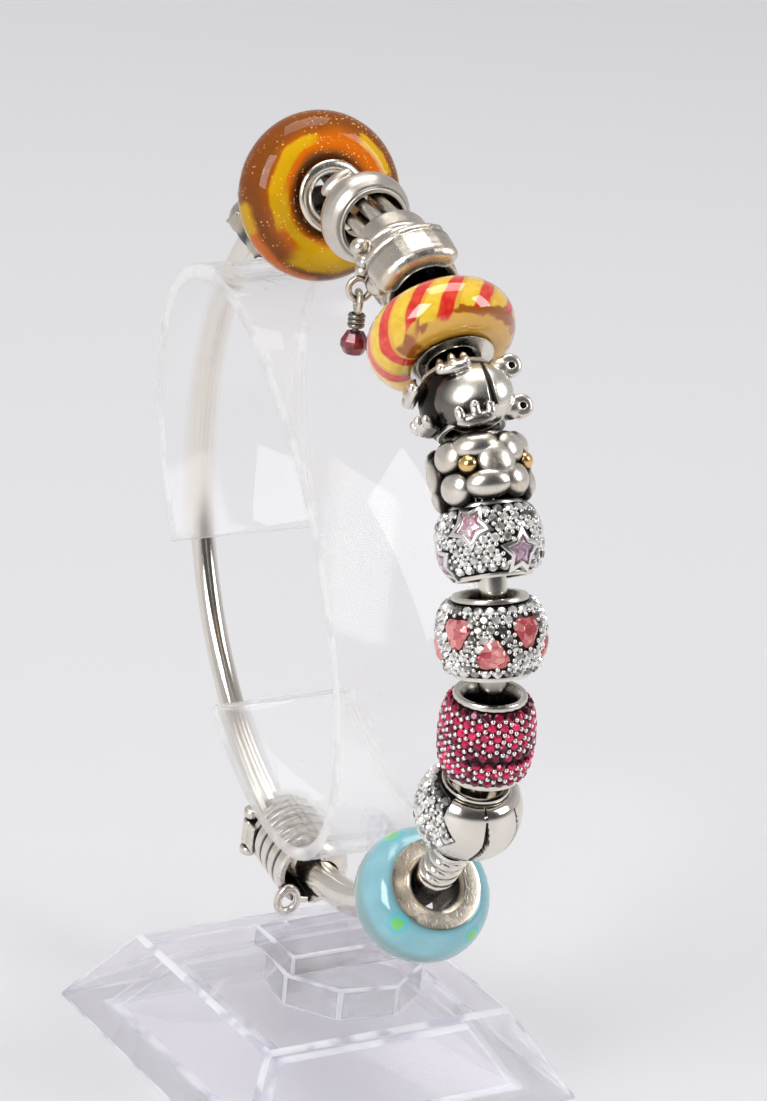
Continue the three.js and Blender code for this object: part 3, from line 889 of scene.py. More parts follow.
def pebble(name: str, half: Sequence[float], at: Sequence[float] = (0, 0, 0), turn: Sequence[float] = (0, 0, 0),
           detail: int = 3) -> Piece:
    """A rounded lump.

    Args:
        name: the piece's name.
        half: its half axes.
        at: its centre.
        turn: its turn about X, Y and Z in degrees.
        detail: how finely it is divided.

    Returns:
        The piece.
    """
    piece = primitive(name, bpy.ops.mesh.primitive_ico_sphere_add, subdivisions=detail, radius=1)
    spin = Euler([radians(angle) for angle in turn]).to_matrix().to_4x4()
    piece.data.transform(Matrix.Translation(at) @ spin @ Matrix.Diagonal((*half, 1)))
    return piece


def rod(name: str, start: Sequence[float], end: Sequence[float], radius: float, sides: int = 16) -> Piece:
    """A round bar with softened ends between two points.

    Args:
        name: the piece's name.
        start: centre of one end.
        end: centre of the other end.
        radius: its radius.
        sides: sides round it.

    Returns:
        The piece.
    """
    line = Vector(end) - Vector(start)
    piece = primitive(name, bpy.ops.mesh.primitive_cylinder_add, vertices=sides, radius=radius, depth=line.length)
    apply(piece, "BEVEL", width=radius * 0.35, segments=3, limit_method="ANGLE")
    place = Matrix.Translation((Vector(start) + Vector(end)) / 2) @ line.to_track_quat("Z", "Y").to_matrix().to_4x4()
    piece.data.transform(place)
    return smooth(piece)


def hoop(name: str, radius: float, wire: float, place: Matrix, sides: int = 32) -> Piece:
    """A wire ring.

    Args:
        name: the piece's name.
        radius: radius of its middle line.
        wire: radius of the wire.
        place: where it goes; it lies flat about Z before that.
        sides: steps round it.

    Returns:
        The piece.
    """
    piece = primitive(name, bpy.ops.mesh.primitive_torus_add, major_radius=radius, minor_radius=wire,
                      major_segments=sides, minor_segments=12)
    piece.data.transform(place)
    return smooth(piece)


def joined(name: str, pieces: Sequence[Piece]) -> Piece:
    """Joins pieces into one mesh.

    Args:
        name: the joined piece's name.
        pieces: the pieces to join.

    Returns:
        The joined piece.
    """
    pick(*pieces)
    if len(pieces) > 1:
        bpy.ops.object.join()
    return latest(name)


def cast(name: str, pieces: Sequence[Piece], grain: float = 0.12, soften: int = 5) -> Piece:
    """Melts overlapping pieces into one soft casting.

    Args:
        name: the casting's name.
        pieces: what it is made of.
        grain: size of its smallest detail.
        soften: how many times it is smoothed.

    Returns:
        The casting.
    """
    piece = joined(name, pieces)
    apply(piece, "REMESH", mode="VOXEL", voxel_size=grain, use_smooth_shade=True)
    return apply(piece, "SMOOTH", factor=0.5, iterations=soften)


def carve(piece: Piece, tools: Sequence[Piece], operation: str = "DIFFERENCE") -> Piece:
    """Cuts a piece with tools, which are used up.

    Args:
        piece: what is cut.
        tools: the cutting shapes.
        operation: DIFFERENCE or INTERSECT.

    Returns:
        The piece.
    """
    for tool in tools:
        apply(piece, "BOOLEAN", object=tool, operation=operation, solver="EXACT")
        bpy.data.objects.remove(tool)
    return piece


def block(name: str, size: Sequence[float], at: Sequence[float]) -> Piece:
    """A plain box, to be shaped further or to cut with.

    Args:
        name: the piece's name.
        size: lengths along X, Y and Z.
        at: its centre.

    Returns:
        The piece.
    """
    piece = primitive(name, bpy.ops.mesh.primitive_cube_add, size=1)
    piece.data.transform(Matrix.Translation(at) @ Matrix.Diagonal((*size, 1)))
    return piece


def reshape(piece: Piece, move: Callable[[Vector], Vector]) -> Piece:
    """Moves each point of a piece.

    Args:
        piece: the piece.
        move: gives a point's new place.

    Returns:
        The piece.
    """
    for vertex in piece.data.vertices:
        vertex.co = move(vertex.co)
    piece.data.update()
    return piece


def mark(piece: Piece, name: str, value: Callable[[Vector], float]) -> Piece:
    """Stores a number at each point of a piece, for its material.

    Args:
        piece: the piece.
        name: the number's name.
        value: gives the number at a point.

    Returns:
        The piece.
    """
    layer = piece.data.attributes.new(name, "FLOAT", "POINT")
    layer.data.foreach_set("value", [value(vertex.co) for vertex in piece.data.vertices])
    return piece


def repeated(name: str, template: Piece, places: Iterable[Matrix], chance: random.Random) -> Piece:
    """Copies a template to each place, gives each copy a brightness value of its own, which a gem finish reads for its
    painted glints, and joins them.

    Args:
        name: the joined piece's name.
        template: what is copied; it is used up.
        places: where the copies go.
        chance: the source of the brightness values.

    Returns:
        The joined piece.
    """
    copies = []
    for place in places:
        copy = template.copy()
        copy.data = template.data.copy()
        copy.data.transform(place)
        shade = chance.random()
        mark(copy, "shade", lambda point: shade)
        bpy.context.scene.collection.objects.link(copy)
        copies.append(copy)
    bpy.data.objects.remove(template)
    return joined(name, copies)


def note_places(mesh: bpy.types.Mesh) -> None:
    """Stores each point's place in the piece's own frame, for its materials.

    Args:
        mesh: the piece's mesh.
    """
    flat = [0.0] * (3 * len(mesh.vertices))
    mesh.vertices.foreach_get("co", flat)
    if "maker_mm" not in mesh.attributes:
        mesh.attributes.new("maker_mm", "FLOAT_VECTOR", "POINT")
    mesh.attributes["maker_mm"].data.foreach_set("vector", flat)


def settle(piece: Piece, place: Matrix) -> Piece:
    """Notes where each point is, then moves the mesh to its real place in metres.

    Args:
        piece: the piece, in millimetres.
        place: its frame on the object, in millimetres.

    Returns:
        The piece.
    """
    note_places(piece.data)
    piece.data.transform(Matrix.Scale(MM, 4) @ place)
    piece.data.update()
    return piece


def rise(low: float, high: float, value: float) -> float:
    """A soft step from 0 at low to 1 at high."""
    share = min(1.0, max(0.0, (value - low) / (high - low)))
    return share * share * (3 - 2 * share)


def off_axis(point: Vector) -> float:
    """A point's distance from the Z axis."""
    return hypot(point.x, point.y)


def bearing(point: Vector) -> float:
    """A point's angle about the Z axis, in degrees."""
    return math.degrees(atan2(point.y, point.x))


def about(axis: str, degrees: float) -> Matrix:
    """A turn about an axis."""
    return Matrix.Rotation(radians(degrees), 4, axis)


def angle_gap(first: float, second: float) -> float:
    """The signed turn in degrees from the second angle to the first."""
    return (first - second + 180) % 360 - 180


# ---- layout
@dataclass
class Loop:
    """The bangle's loop, and the seats round it."""

    origin: Vector
    radius: float = 35.6
    x: float = 1.2
    y: float = 7.1
    z: float = 51.8
    yaw: float = radians(-5.7)
    lean: float = radians(2.4)

    def __post_init__(self) -> None:
        """Works out the loop's axes."""
        self.normal = Vector((cos(self.yaw) * cos(self.lean), sin(self.yaw) * cos(self.lean), sin(self.lean)))
        self.back = Vector((-sin(self.yaw), cos(self.yaw), 0))
        self.up = self.normal.cross(self.back)
        self.centre = self.origin + Vector((self.x, self.y, self.z))

    def outward(self, degrees: float) -> Vector:
        """The direction outwards from the centre at an angle."""
        angle = radians(degrees)
        return -sin(angle) * self.back + cos(angle) * self.up

    def seat(self, degrees: float, out: float = 0.0, side: float = 0.0, tilt: float = 0.0) -> Matrix:
        """The frame at an angle round the loop.

        Args:
            degrees: 0 at the top, growing over the front.
            out: how far it sits outwards.
            side: how far it sits to the left.
            tilt: how far it is turned about Y, in degrees.

        Returns:
            X outwards, Y to the left side and Z along the tube, in millimetres.
        """
        turned_to = degrees + tilt
        at = self.centre + self.outward(degrees) * (self.radius + out) - self.normal * side
        axes = (self.outward(turned_to), -self.normal, self.outward(turned_to + 90))
        return Matrix.Translation(at) @ Matrix(axes).transposed().to_4x4()

    def degrees(self, length: float) -> float:
        """Degrees that a length along the loop spans."""
        return math.degrees(length / self.radius)

    def bend(self, piece: Piece, start: float) -> Piece:
        """Bends a bar that lies along Z round the loop, from an angle on.

        Args:
            piece: the bar, in millimetres; it is moved to its real place in metres.
            start: the angle of its lower end.

        Returns:
            The piece.
        """
        note_places(piece.data)
        return reshape(piece, lambda point: MM * (
            self.seat(start + self.degrees(point.z)) @ Vector((point.x, point.y, 0))))


@dataclass
class Kit:
    """What every sub-assembly is given."""

    loop: Loop
    workshop: Workshop

    def place(self, piece: Piece, frame: Matrix, slot: Slot, *finishes: Finish, node: str = "",
              body: str = ROOT) -> Piece:
        """Settles a piece, dresses it and fixes it to its body."""
        return self.fix(settle(piece, frame), slot, *finishes, node=node, body=body)

    def fix(self, piece: Piece, slot: Slot, *finishes: Finish, node: str = "", body: str = ROOT) -> Piece:
        """Dresses a settled piece and fixes it to its body.

        Args:
            piece: the settled piece.
            slot: its material slot; not used.
            *finishes: its finishes.
            node: the node that it replaces.
            body: the body that it moves with.

        Returns:
            The same piece.
        """
        self.workshop.dress(piece, *finishes)
        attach(piece, body)
        if node:
            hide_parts(node)
        LOG.info("%s: %d faces on %s", piece.name, len(piece.data.polygons), body)
        return piece


# ---- stand
@dataclass
class Stand:
    """The clear stand: a hollow base, a disc, a block, an upright and the cuff."""

    kit: Kit
    base: Vector
    top: float = 28.2
    foot: float = 39.8
    height: float = 8.7
    wall: float = 2.8
    rim: float = 4.66
    cuff_long: float = 30.8
    cuff_short: float = 15.2
    cuff_wall: float = 1.4
    cuff_width: float = 16.6
    cuff_at: tuple[float, float, float] = (0.4, 9.2, 51.3)
    cuff_lean: float = radians(55.3)
    cuff_from: float = radians(-79)
    cuff_to: float = radians(246.5)
    cuff_steps: int = 120

    def build(self) -> None:
        """Makes the five pieces."""
        moulded = Acrylic("ClearMoulding", tint=(0.78, 0.768, 0.80, 1), haze=0.05, scuff=0.3, body=0.55)
        glued = Acrylic("ClearSheet", tint=(0.975, 0.97, 0.97, 1), roughness=0.012, haze=0.03, scuff=0.25,
                        index=1.05, coat=0.9, glued=1.0)
        # the edge finishes paint the bevels as painted highlights
        edge = AcrylicEdge("MouldingEdge")
        rim = AcrylicEdge("SheetEdge", pale=(0.96, 0.955, 0.94, 1), shaded=(0.80, 0.78, 0.76, 1), body=0.55)
        home = Matrix.Identity(4)
        self.kit.place(self.hollow_base(), home, Slot.ACRYLIC, moulded, edge, node="stand_base")
        for node in ("stand_disc", "stand_block", "stand_upright"):
            self.kit.place(self.eased(node), home, Slot.ACRYLIC, moulded, edge, node=node)
        self.kit.place(self.cuff(), home, Slot.ACRYLIC, glued, rim, node="stand_cuff")

    def hollow_base(self) -> Piece:
        """The sloped base, hollowed from below.

        Returns:
            The piece.
        """
        piece = block("base", (self.foot, self.foot, self.height), (self.base.x, self.base.y, self.height / 2))
        middle = (self.base.x, self.base.y, 0)
        share = self.top / self.foot
        edit(piece)
        choose(piece, lambda face: face.normal.z > 0.5)
        widen(share, middle)
        choose(piece, lambda face: face.normal.z < -0.5)
        bpy.ops.mesh.inset(thickness=self.rim)
        inside = self.top - 2 * self.wall
        opening = self.foot - 2 * self.rim
        extrude(0, 0, self.height - self.wall)
        widen(inside / opening, middle)
        close()
        two_slots(piece)
        apply(piece, "BEVEL", width=0.45, segments=3, limit_method="ANGLE", material=1)
        return smooth(piece)

    def eased(self, node: str) -> Piece:
        """A copy of a node's shape with its edges eased.

        Args:
            node: the node's name.

        Returns:
            The piece, in millimetres.
        """
        source = bpy.data.objects[node]
        mesh = source.data.copy()
        mesh.transform(Matrix.Scale(1 / MM, 4))
        piece = bpy.data.objects.new(node.replace("stand_", ""), mesh)
        bpy.context.scene.collection.objects.link(piece)
        edit(piece)
        bpy.ops.mesh.select_all(action="SELECT")
        bpy.ops.mesh.remove_doubles(threshold=0.001)
        bpy.ops.mesh.dissolve_limited(angle_limit=radians(1))
        bpy.ops.mesh.normals_make_consistent(inside=False)
        close()
        piece.data.materials.clear()
        two_slots(piece)
        apply(piece, "BEVEL", width=0.3, segments=3, limit_method="ANGLE", angle_limit=radians(35), material=1)
        return smooth(piece)

    def cuff_point(self, angle: float) -> Vector:
        """A point of the cuff's outer line.

        Args:
            angle: its angle on the oval.

        Returns:
            The point, in millimetres.
        """
        along = self.cuff_long * cos(angle)
        across = self.cuff_short * sin(angle)
        x, y, z = self.cuff_at
        turn = self.cuff_lean
        return Vector((x, y + along * cos(turn) - across * sin(turn),
                       z + along * sin(turn) + across * cos(turn))) + Vector((0, self.base.y, 0))

    def cuff(self) -> Piece:
        """The C-shaped sheet: a line extruded to a strip, then given its wall.

        Returns:
            The piece.
        """
        half = Vector((self.cuff_width / 2, 0, 0))
        points = [self.cuff_point(self.cuff_from + (self.cuff_to - self.cuff_from) * i / self.cuff_steps) - half
                  for i in range(self.cuff_steps + 1)]
        piece = drawn("cuff", points)
        extrude(self.cuff_width, 0, 0)
        tidy_faces()
        close()
        middle = Vector((self.cuff_at[0], self.cuff_at[1] + self.base.y, self.cuff_at[2]))
        face = piece.data.polygons[0]
        outward = face.normal.dot(face.center - middle) > 0
        two_slots(piece)
        apply(piece, "SOLIDIFY", thickness=self.cuff_wall, offset=-1 if outward else 1, use_even_offset=True,
              material_offset_rim=1)
        apply(piece, "BEVEL", width=0.2, segments=2, limit_method="ANGLE", angle_limit=radians(50))
        return smooth(piece)


# ---- bangle and clasp
@dataclass
class Bangle:
    """The tube with its thread and thick end, and the hinged clasp."""

    kit: Kit
    radius: float = 1.32
    tail: float = 1.7
    ball: float = 2.5
    ball_length: float = 2.2
    thread_from: float = 122.0
    thread_pitch: float = 2.4
    thread_turns: int = 4
    crest: float = 1.95
    root: float = 1.5
    clasp_at: float = 189.0
    length: float = 9.3
    shell: float = 4.0
    bore: float = 3.2
    end: float = 1.2
    groove: float = 0.3
    hinge_out: float = 3.55
    hinge_back: float = 4.2
    slot: float = 1.8
    sides: int = 28

    def build(self) -> None:
        """Makes the tube, the clasp's two halves and its pin."""
        polished = Silver("PolishedSilver", depth=0.75, film=0.18, roughness=0.14)
        worn = Silver("WornSilver", depth=0.95, film=0.4, roughness=0.24, bump=0.12)
        tube = self.tube()
        self.kit.fix(tube, Slot.POLISHED, polished, node="bangle_band")
        place = self.kit.loop.seat(self.clasp_at)
        self.kit.place(self.half_shell(), place, Slot.OXIDISED, worn)
        self.kit.place(self.lid(), place, Slot.OXIDISED, worn, node="clasp_lid", body=LID)
        pin = rod("pin", (-2.8, self.hinge_out, self.hinge_back), (2.8, self.hinge_out, self.hinge_back), 0.35)
        self.kit.place(pin, place, Slot.OXIDISED, worn, node="clasp_pin")

    def tube(self) -> Piece:
        """The tube, bent round the loop from the clasp to the thick end.

        Returns:
            The piece.
        """
        loop = self.kit.loop
        start = self.clasp_at + loop.degrees(self.length / 2 - self.end / 2) - 360
        thread_end = self.thread_from + self.thread_pitch * self.thread_turns
        ball_at = self.clasp_at - loop.degrees(self.length / 2 - self.ball - 0.6)
        neck = ball_at - loop.degrees(self.ball_length)
        rows = [(start + (self.thread_from - start) * i / 120, self.radius) for i in range(121)]
        fine = self.thread_turns * 10
        rows += [(self.thread_from + (thread_end - self.thread_from) * i / fine, self.tail)
                 for i in range(1, fine + 1)]
        rows += [(thread_end + (neck - thread_end) * i / 30, self.tail) for i in range(1, 31)]
        for i in range(1, 12):
            turn = radians(20 + 150 * i / 12)
            rows.append((ball_at - loop.degrees(self.ball_length) * cos(turn), self.ball * sin(turn)))
        heights = [radians(angle - start) * loop.radius for angle, _ in rows]
        profile = [(0.0, heights[0]), *((radius, height) for (_, radius), height in zip(rows, heights)),
                   (0.0, heights[-1])]
        piece = turned("band", profile, self.sides, sharp=60)
        low = radians(self.thread_from - start) * loop.radius
        high = radians(thread_end - start) * loop.radius
        pitch = (high - low) / self.thread_turns

        def cut_thread(point: Vector) -> Vector:
            """Winds the screw thread round the tube.

            Args:
                point: a point of the tube.

            Returns:
                The moved point.
            """
            if not low - 0.01 <= point.z <= high + 0.01:
                return point
            turn = (point.z - low) / pitch - atan2(point.y, point.x) / (2 * pi)
            wave = 0.5 + 0.5 * cos(2 * pi * turn)
            edge = min(rise(low - 0.05, low + pitch * 0.4, point.z), 1 - rise(high - pitch * 0.4, high + 0.05, point.z))
            radius = self.tail + edge * (self.root + (self.crest - self.root) * rise(0.15, 0.6, wave) - self.tail)
            share = radius / self.tail
            return Vector((point.x * share, point.y * share, point.z))

        reshape(piece, cut_thread)
        # painted shade on the tube where it shows in the gap between the trillion and ruby beads
        dark = [radians(angle - start) * loop.radius for angle in (88.0, 89.5, 93.0, 95.0)]
        mark(piece, "oxide_and_painted_shade", lambda point: 0.9 * rise(dark[0], dark[1], point.z) * (1 - rise(dark[2], dark[3], point.z)))
        return loop.bend(piece, start)

    def barrel(self, name: str) -> Piece:
        """The grooved barrel of the clasp.

        Args:
            name: the piece's name.

        Returns:
            The piece.
        """
        half = self.length / 2
        pitch = self.length / 5.5
        outside = [(self.shell - 0.25, -half), (self.shell, -half + 0.25)]
        for number in range(4):
            at = -half + pitch * (number + 0.8)
            deep = self.shell - self.groove
            outside += [(self.shell, at), (deep, at + 0.18), (deep, at + 0.42), (self.shell, at + 0.6)]
        outside += [(self.shell, half - 0.7), (self.shell - 0.2, half - 0.25), (self.shell - 0.8, half)]
        inside = [(0.0, half - self.end), (self.bore, half - self.end), (self.bore, -half)]
        return turned(name, [*inside, *outside, (0.0, half)], 64)

    def hinge_eye(self, name: str, radius: float, low: float, high: float) -> Piece:
        """A round eye of the hinge, from one place along it to another."""
        return rod(name, (low, self.hinge_out, self.hinge_back), (high, self.hinge_out, self.hinge_back), radius, 24)

    def half_shell(self) -> Piece:
        """The fixed half with its end wall, its rounded mouth and two hinge ears.

        Returns:
            The piece.
        """
        half = self.length / 2
        wide = self.shell * 4
        shell = carve(self.barrel("clasp"), [
            block("lid_space", (wide, wide, self.length), (0, wide / 2, -self.end - 0.05)),
            block("knuckle_space", (self.slot * 2, 4, 4), (0, self.hinge_out + 0.7, half))])
        cup = pebble("cup", (self.shell, self.shell, 2.2), (0, 0, -half + 0.4), detail=5)
        carve(cup, [
            pebble("hollow", (self.bore, self.bore, 1.6), (0, 0, -half + 0.4), detail=5),
            rod("way", (0, 0, -half - 4), (0, 0, -half + 2), self.tail + 0.6, 32),
            block("above", (wide, wide, wide), (0, wide / 2, 0)),
            block("behind", (wide, wide, wide), (0, 0, -half + 0.4 + wide / 2))])
        ears = []
        for side in (-1, 1):
            low, high = sorted((side * self.slot, side * (self.slot + 1.0)))
            ears.append(self.hinge_eye("ear", 0.9, low, high))
            ears.append(block("lug", (1.0, 2.2, 0.9), ((low + high) / 2, self.hinge_out - 1.3, half - 0.5)))
        return self.eased(joined("clasp_shell", [shell, cup, *ears]))

    def eased(self, piece: Piece) -> Piece:
        """Eases the edges of a half of the clasp and blackens its grooves and its inside.

        Args:
            piece: the half.

        Returns:
            The piece.
        """
        apply(piece, "BEVEL", width=0.06, segments=1, limit_method="ANGLE", angle_limit=radians(50))
        mark(piece, "oxide_and_painted_shade", lambda point: 0.9 * (
            1 - rise(self.shell - 0.28, self.shell - 0.02, off_axis(point))) * float(
                abs(point.z) < self.length / 2 - 0.9))
        return smooth(piece)

    def lid(self) -> Piece:
        """The hinged half with its knuckle and the oval thumb loop.

        Returns:
            The piece.
        """
        half = self.length / 2
        wide = self.shell * 4
        length = self.length - self.end - 0.5
        shell = carve(self.barrel("lid"), [
            block("keep", (wide, wide, length), (0, wide / 2 + 0.15, -half + length / 2))], "INTERSECT")
        knuckle = self.hinge_eye("knuckle", 0.85, -1.5, 1.5)
        strap = block("strap", (3, 0.9, 2.2), (0, 3.65, self.hinge_back - 0.9))
        oval = Matrix.Translation((2.95, 2.75, -half - 0.3)) @ Matrix.Diagonal((1.25, 0.95, 1, 1))
        return self.eased(joined("clasp_lid_piece", [shell, knuckle, strap, hoop("thumb", 1.15, 0.45, oval, 40)]))


# ---- glass beads
@dataclass
class GlassBead:
    """A glass bead on a silver lining."""

    kit: Kit
    name: str
    at: float
    radius: float
    half: float
    hole: float
    rim: float
    bore: float
    face: float
    slot: Slot
    glass: Finish
    heart: Finish | None = None
    out: float = 0.0
    side: float = 0.0
    skin: float = 0.55
    metal: Colour = (0.82, 0.78, 0.71, 1)

    def section(self, inset: float = 0.0, steps: int = 28) -> list[tuple[float, float]]:
        """The glass's section.

        Args:
            inset: how far inside the surface it runs.
            steps: points on the rounded side.

        Returns:
            Radius and height of each point.
        """
        middle = (self.radius + 1.6) / 2
        wide, high = self.radius - middle - inset, self.half - inset
        reach = acos((self.hole + inset - middle) / wide)
        return [(middle + wide * cos(-reach + 2 * reach * i / steps),
                 high * sin(-reach + 2 * reach * i / steps)) for i in range(steps + 1)]

    def height(self, radius: float) -> float:
        """Half the glass's thickness at a radius."""
        middle = (self.radius + 1.6) / 2
        return self.half * sqrt(max(0.0, 1 - ((radius - middle) / (self.radius - middle)) ** 2))

    def lining(self) -> Piece:
        """The silver lining with a rolled rim at each end.

        Returns:
            The piece.
        """
        inner = self.hole - 0.3
        under = self.height(self.rim) + 0.3
        roll = []
        for step in range(9):
            turn = radians(-10 + 130 * step / 8)
            reach = (self.rim - self.bore) / 2
            middle = self.bore + reach
            low = under
            roll.append((middle + reach * cos(turn), low + (self.face - low) * max(0.0, sin(turn))))
        upper = [(inner, self.height(self.hole)), (self.rim - 0.3, under), *roll, (self.bore, self.face - 0.35)]
        lower = [(radius, -height) for radius, height in reversed(upper)]
        return turned(f"{self.name}_lining", [*lower, *upper], 72, ring=True, sharp=50)

    def build(self) -> None:
        """Makes the glass and its lining."""
        place = self.kit.loop.seat(self.at, self.out, self.side)
        glass = turned(f"{self.name}_outer", self.section(), 96, ring=True, sharp=50)
        self.kit.place(glass, place, self.slot, self.glass, node=f"{self.name}_glass")
        if self.heart:
            inner = turned(f"{self.name}_heart", self.section(self.skin), 96, ring=True, sharp=50)
            self.kit.place(inner, place, self.slot, self.heart)
        rim = Silver(f"{self.name.title()}RimSilver", bright=self.metal, depth=0.95, film=0.7, roughness=0.2, bump=0.12,
                     scratches=0.6)
        # painted shade inside the bore of the lining
        lining = mark(self.lining(), "oxide_and_painted_shade", lambda point: 1 - rise(
            self.bore + 0.02, self.bore + 0.3, off_axis(point)))
        self.kit.place(lining, place, Slot.POLISHED, rim, node=f"{self.name}_core")


# ---- barrel beads
@dataclass
class Barrel:
    """The shape of a barrel bead: end rings with a belly between them."""

    length: float
    belly: float
    ring: float
    lip: float
    bore: float = 2.2

    def radius(self, height: float) -> float:
        """The belly's radius at a height along the tube."""
        share = min(1.0, abs(height) / (self.length / 2 - self.lip))
        return self.ring + 0.1 + (self.belly - self.ring - 0.1) * sqrt(max(0.0, 1 - share * share))

    def profile(self, sunk: float, steps: int = 36) -> list[tuple[float, float]]:
        """The bead's section.

        Args:
            sunk: how far the ground lies under the finished surface.
            steps: points on the belly.

        Returns:
            Radius and height of each point.
        """
        half = self.length / 2
        inner = half - self.lip
        belly = [(self.radius(inner * sin(t)) - sunk, inner * sin(t) * 0.995)
                 for t in (pi * (i / steps - 0.5) for i in range(steps + 1))]
        ring = [(self.ring - 0.3, inner), (self.ring - 0.08, inner + 0.03), (self.ring, inner + 0.12),
                (self.ring, half - 0.14), (self.ring - 0.1, half), (self.ring - 0.5, half),
                (self.ring - 0.65, half - 0.12),
                (self.bore + 0.3, half - 0.7), (self.bore, half - 1.3)]
        return [*((radius, -height) for radius, height in reversed(ring)), *belly, *ring]

    def oxide_and_painted_shade(self, point: Vector) -> float:
        """Where the ground between the end rings is black, and where the funnels inside the rings are painted black as
        painted shade.
        """
        if abs(point.z) < self.length / 2 - self.lip + 0.01:
            return 1.0
        return 1 - rise(self.ring - 0.8, self.ring - 0.62, off_axis(point))

    def seat(self, degrees: float, height: float, lift: float = 0.0) -> Matrix:
        """A frame on the belly: Z out of the surface, X round the bead.

        Args:
            degrees: the angle round the tube.
            height: the height along it.
            lift: distance from the surface.

        Returns:
            The frame.
        """
        angle = radians(degrees)
        slope = (self.radius(height + 0.02) - self.radius(height - 0.02)) / 0.04
        slope = max(-1.6, min(1.6, slope))
        radial = Vector((cos(angle), sin(angle), 0))
        outward = (radial - Vector((0, 0, slope))).normalized()
        across = Vector((-sin(angle), cos(angle), 0))
        at = radial * self.radius(height) + Vector((0, 0, height)) + outward * lift
        return Matrix.Translation(at) @ Matrix((across, outward.cross(across), outward)).transposed().to_4x4()

    def wrap(self, piece: Piece, degrees: float, height: float, lift: float = 0.0) -> Piece:
        """Bends a flat piece onto the belly.

        Args:
            piece: the piece, lying flat about the origin.
            degrees: the angle where its middle goes.
            height: the height where its middle goes.
            lift: distance from the surface.

        Returns:
            The piece.
        """
        middle = self.radius(height)

        def move(point: Vector) -> Vector:
            """Moves a flat point onto the belly.

            Args:
                point: the flat point.

            Returns:
                The moved point.
            """
            angle = radians(degrees) + point.x / middle
            along = height + point.y
            radius = self.radius(along) + lift + point.z
            return Vector((radius * cos(angle), radius * sin(angle), along))

        return reshape(piece, move)

    def rows(self, pitch: float, margin: float, stagger: float = 0.5) -> list[tuple[float, float, int]]:
        """Places for stones in even rows round the belly.

        Args:
            pitch: distance between stones.
            margin: distance from the end rings.
            stagger: shift of every other row, in pitches.

        Returns:
            Angle, height and row number of each place.
        """
        inner = self.length / 2 - self.lip - margin
        steps = 200
        heights = [inner * (2 * i / steps - 1) for i in range(steps + 1)]
        lengths = [0.0]
        for low, high in zip(heights, heights[1:]):
            lengths.append(lengths[-1] + hypot(high - low, self.radius(high) - self.radius(low)))
        count = max(2, round(lengths[-1] / (pitch * 0.82)) + 1)
        places = []
        for row in range(count):
            want = lengths[-1] * row / (count - 1)
            height = heights[min(range(steps + 1), key=lambda i: abs(lengths[i] - want))]
            around = int(2 * pi * self.radius(height) / pitch)
            for number in range(around):
                places.append((360 * (number + stagger * (row % 2)) / around, height, row))
        return places


def cut_stone(name: str, radius: float, sides: int = 8, crown: float = 0.26) -> Piece:
    """A small faceted stone about the origin, its girdle at height 0.

    Args:
        name: the stone's name.
        radius: its radius.
        sides: facets round it.
        crown: height of the crown.

    Returns:
        The stone.
    """
    piece = primitive(name, bpy.ops.mesh.primitive_cylinder_add, vertices=sides, radius=radius, depth=0.08)
    edit(piece)
    choose(piece, lambda face: face.normal.z > 0.5)
    extrude(0, 0, crown)
    widen(0.58)
    choose(piece, lambda face: face.normal.z < -0.5)
    extrude(0, 0, -crown)
    widen(0.4)
    close()
    return piece


def claw(name: str, radius: float) -> Piece:
    """A bead of metal that holds stones, about the origin.

    Args:
        name: the piece's name.
        radius: the bead's radius.

    Returns:
        The piece.
    """
    piece = primitive(name, bpy.ops.mesh.primitive_uv_sphere_add, segments=8, ring_count=5, radius=radius)
    piece.data.transform(Matrix.Diagonal((1, 1, 0.8, 1)))
    return smooth(piece, 80)


def star_plate(name: str, tip: float, waist: float, low: float, high: float, table: float) -> Piece:
    """A five-pointed plate that lies flat with one point to +Y, and a smaller top.

    Args:
        name: the plate's name.
        tip: radius of its points.
        waist: share of that radius between the points.
        low: height of its underside.
        high: height of its top.
        table: share of its size at the top.

    Returns:
        The plate.
    """
    piece = primitive(name, bpy.ops.mesh.primitive_cylinder_add, vertices=10, radius=tip, depth=high - low)
    for vertex in piece.data.vertices:
        if round((bearing(vertex.co) - 90) / 36) % 2:
            vertex.co.x *= waist
            vertex.co.y *= waist
        if vertex.co.z > 0:
            vertex.co.x *= table
            vertex.co.y *= table
        vertex.co.z += (high + low) / 2
    return piece


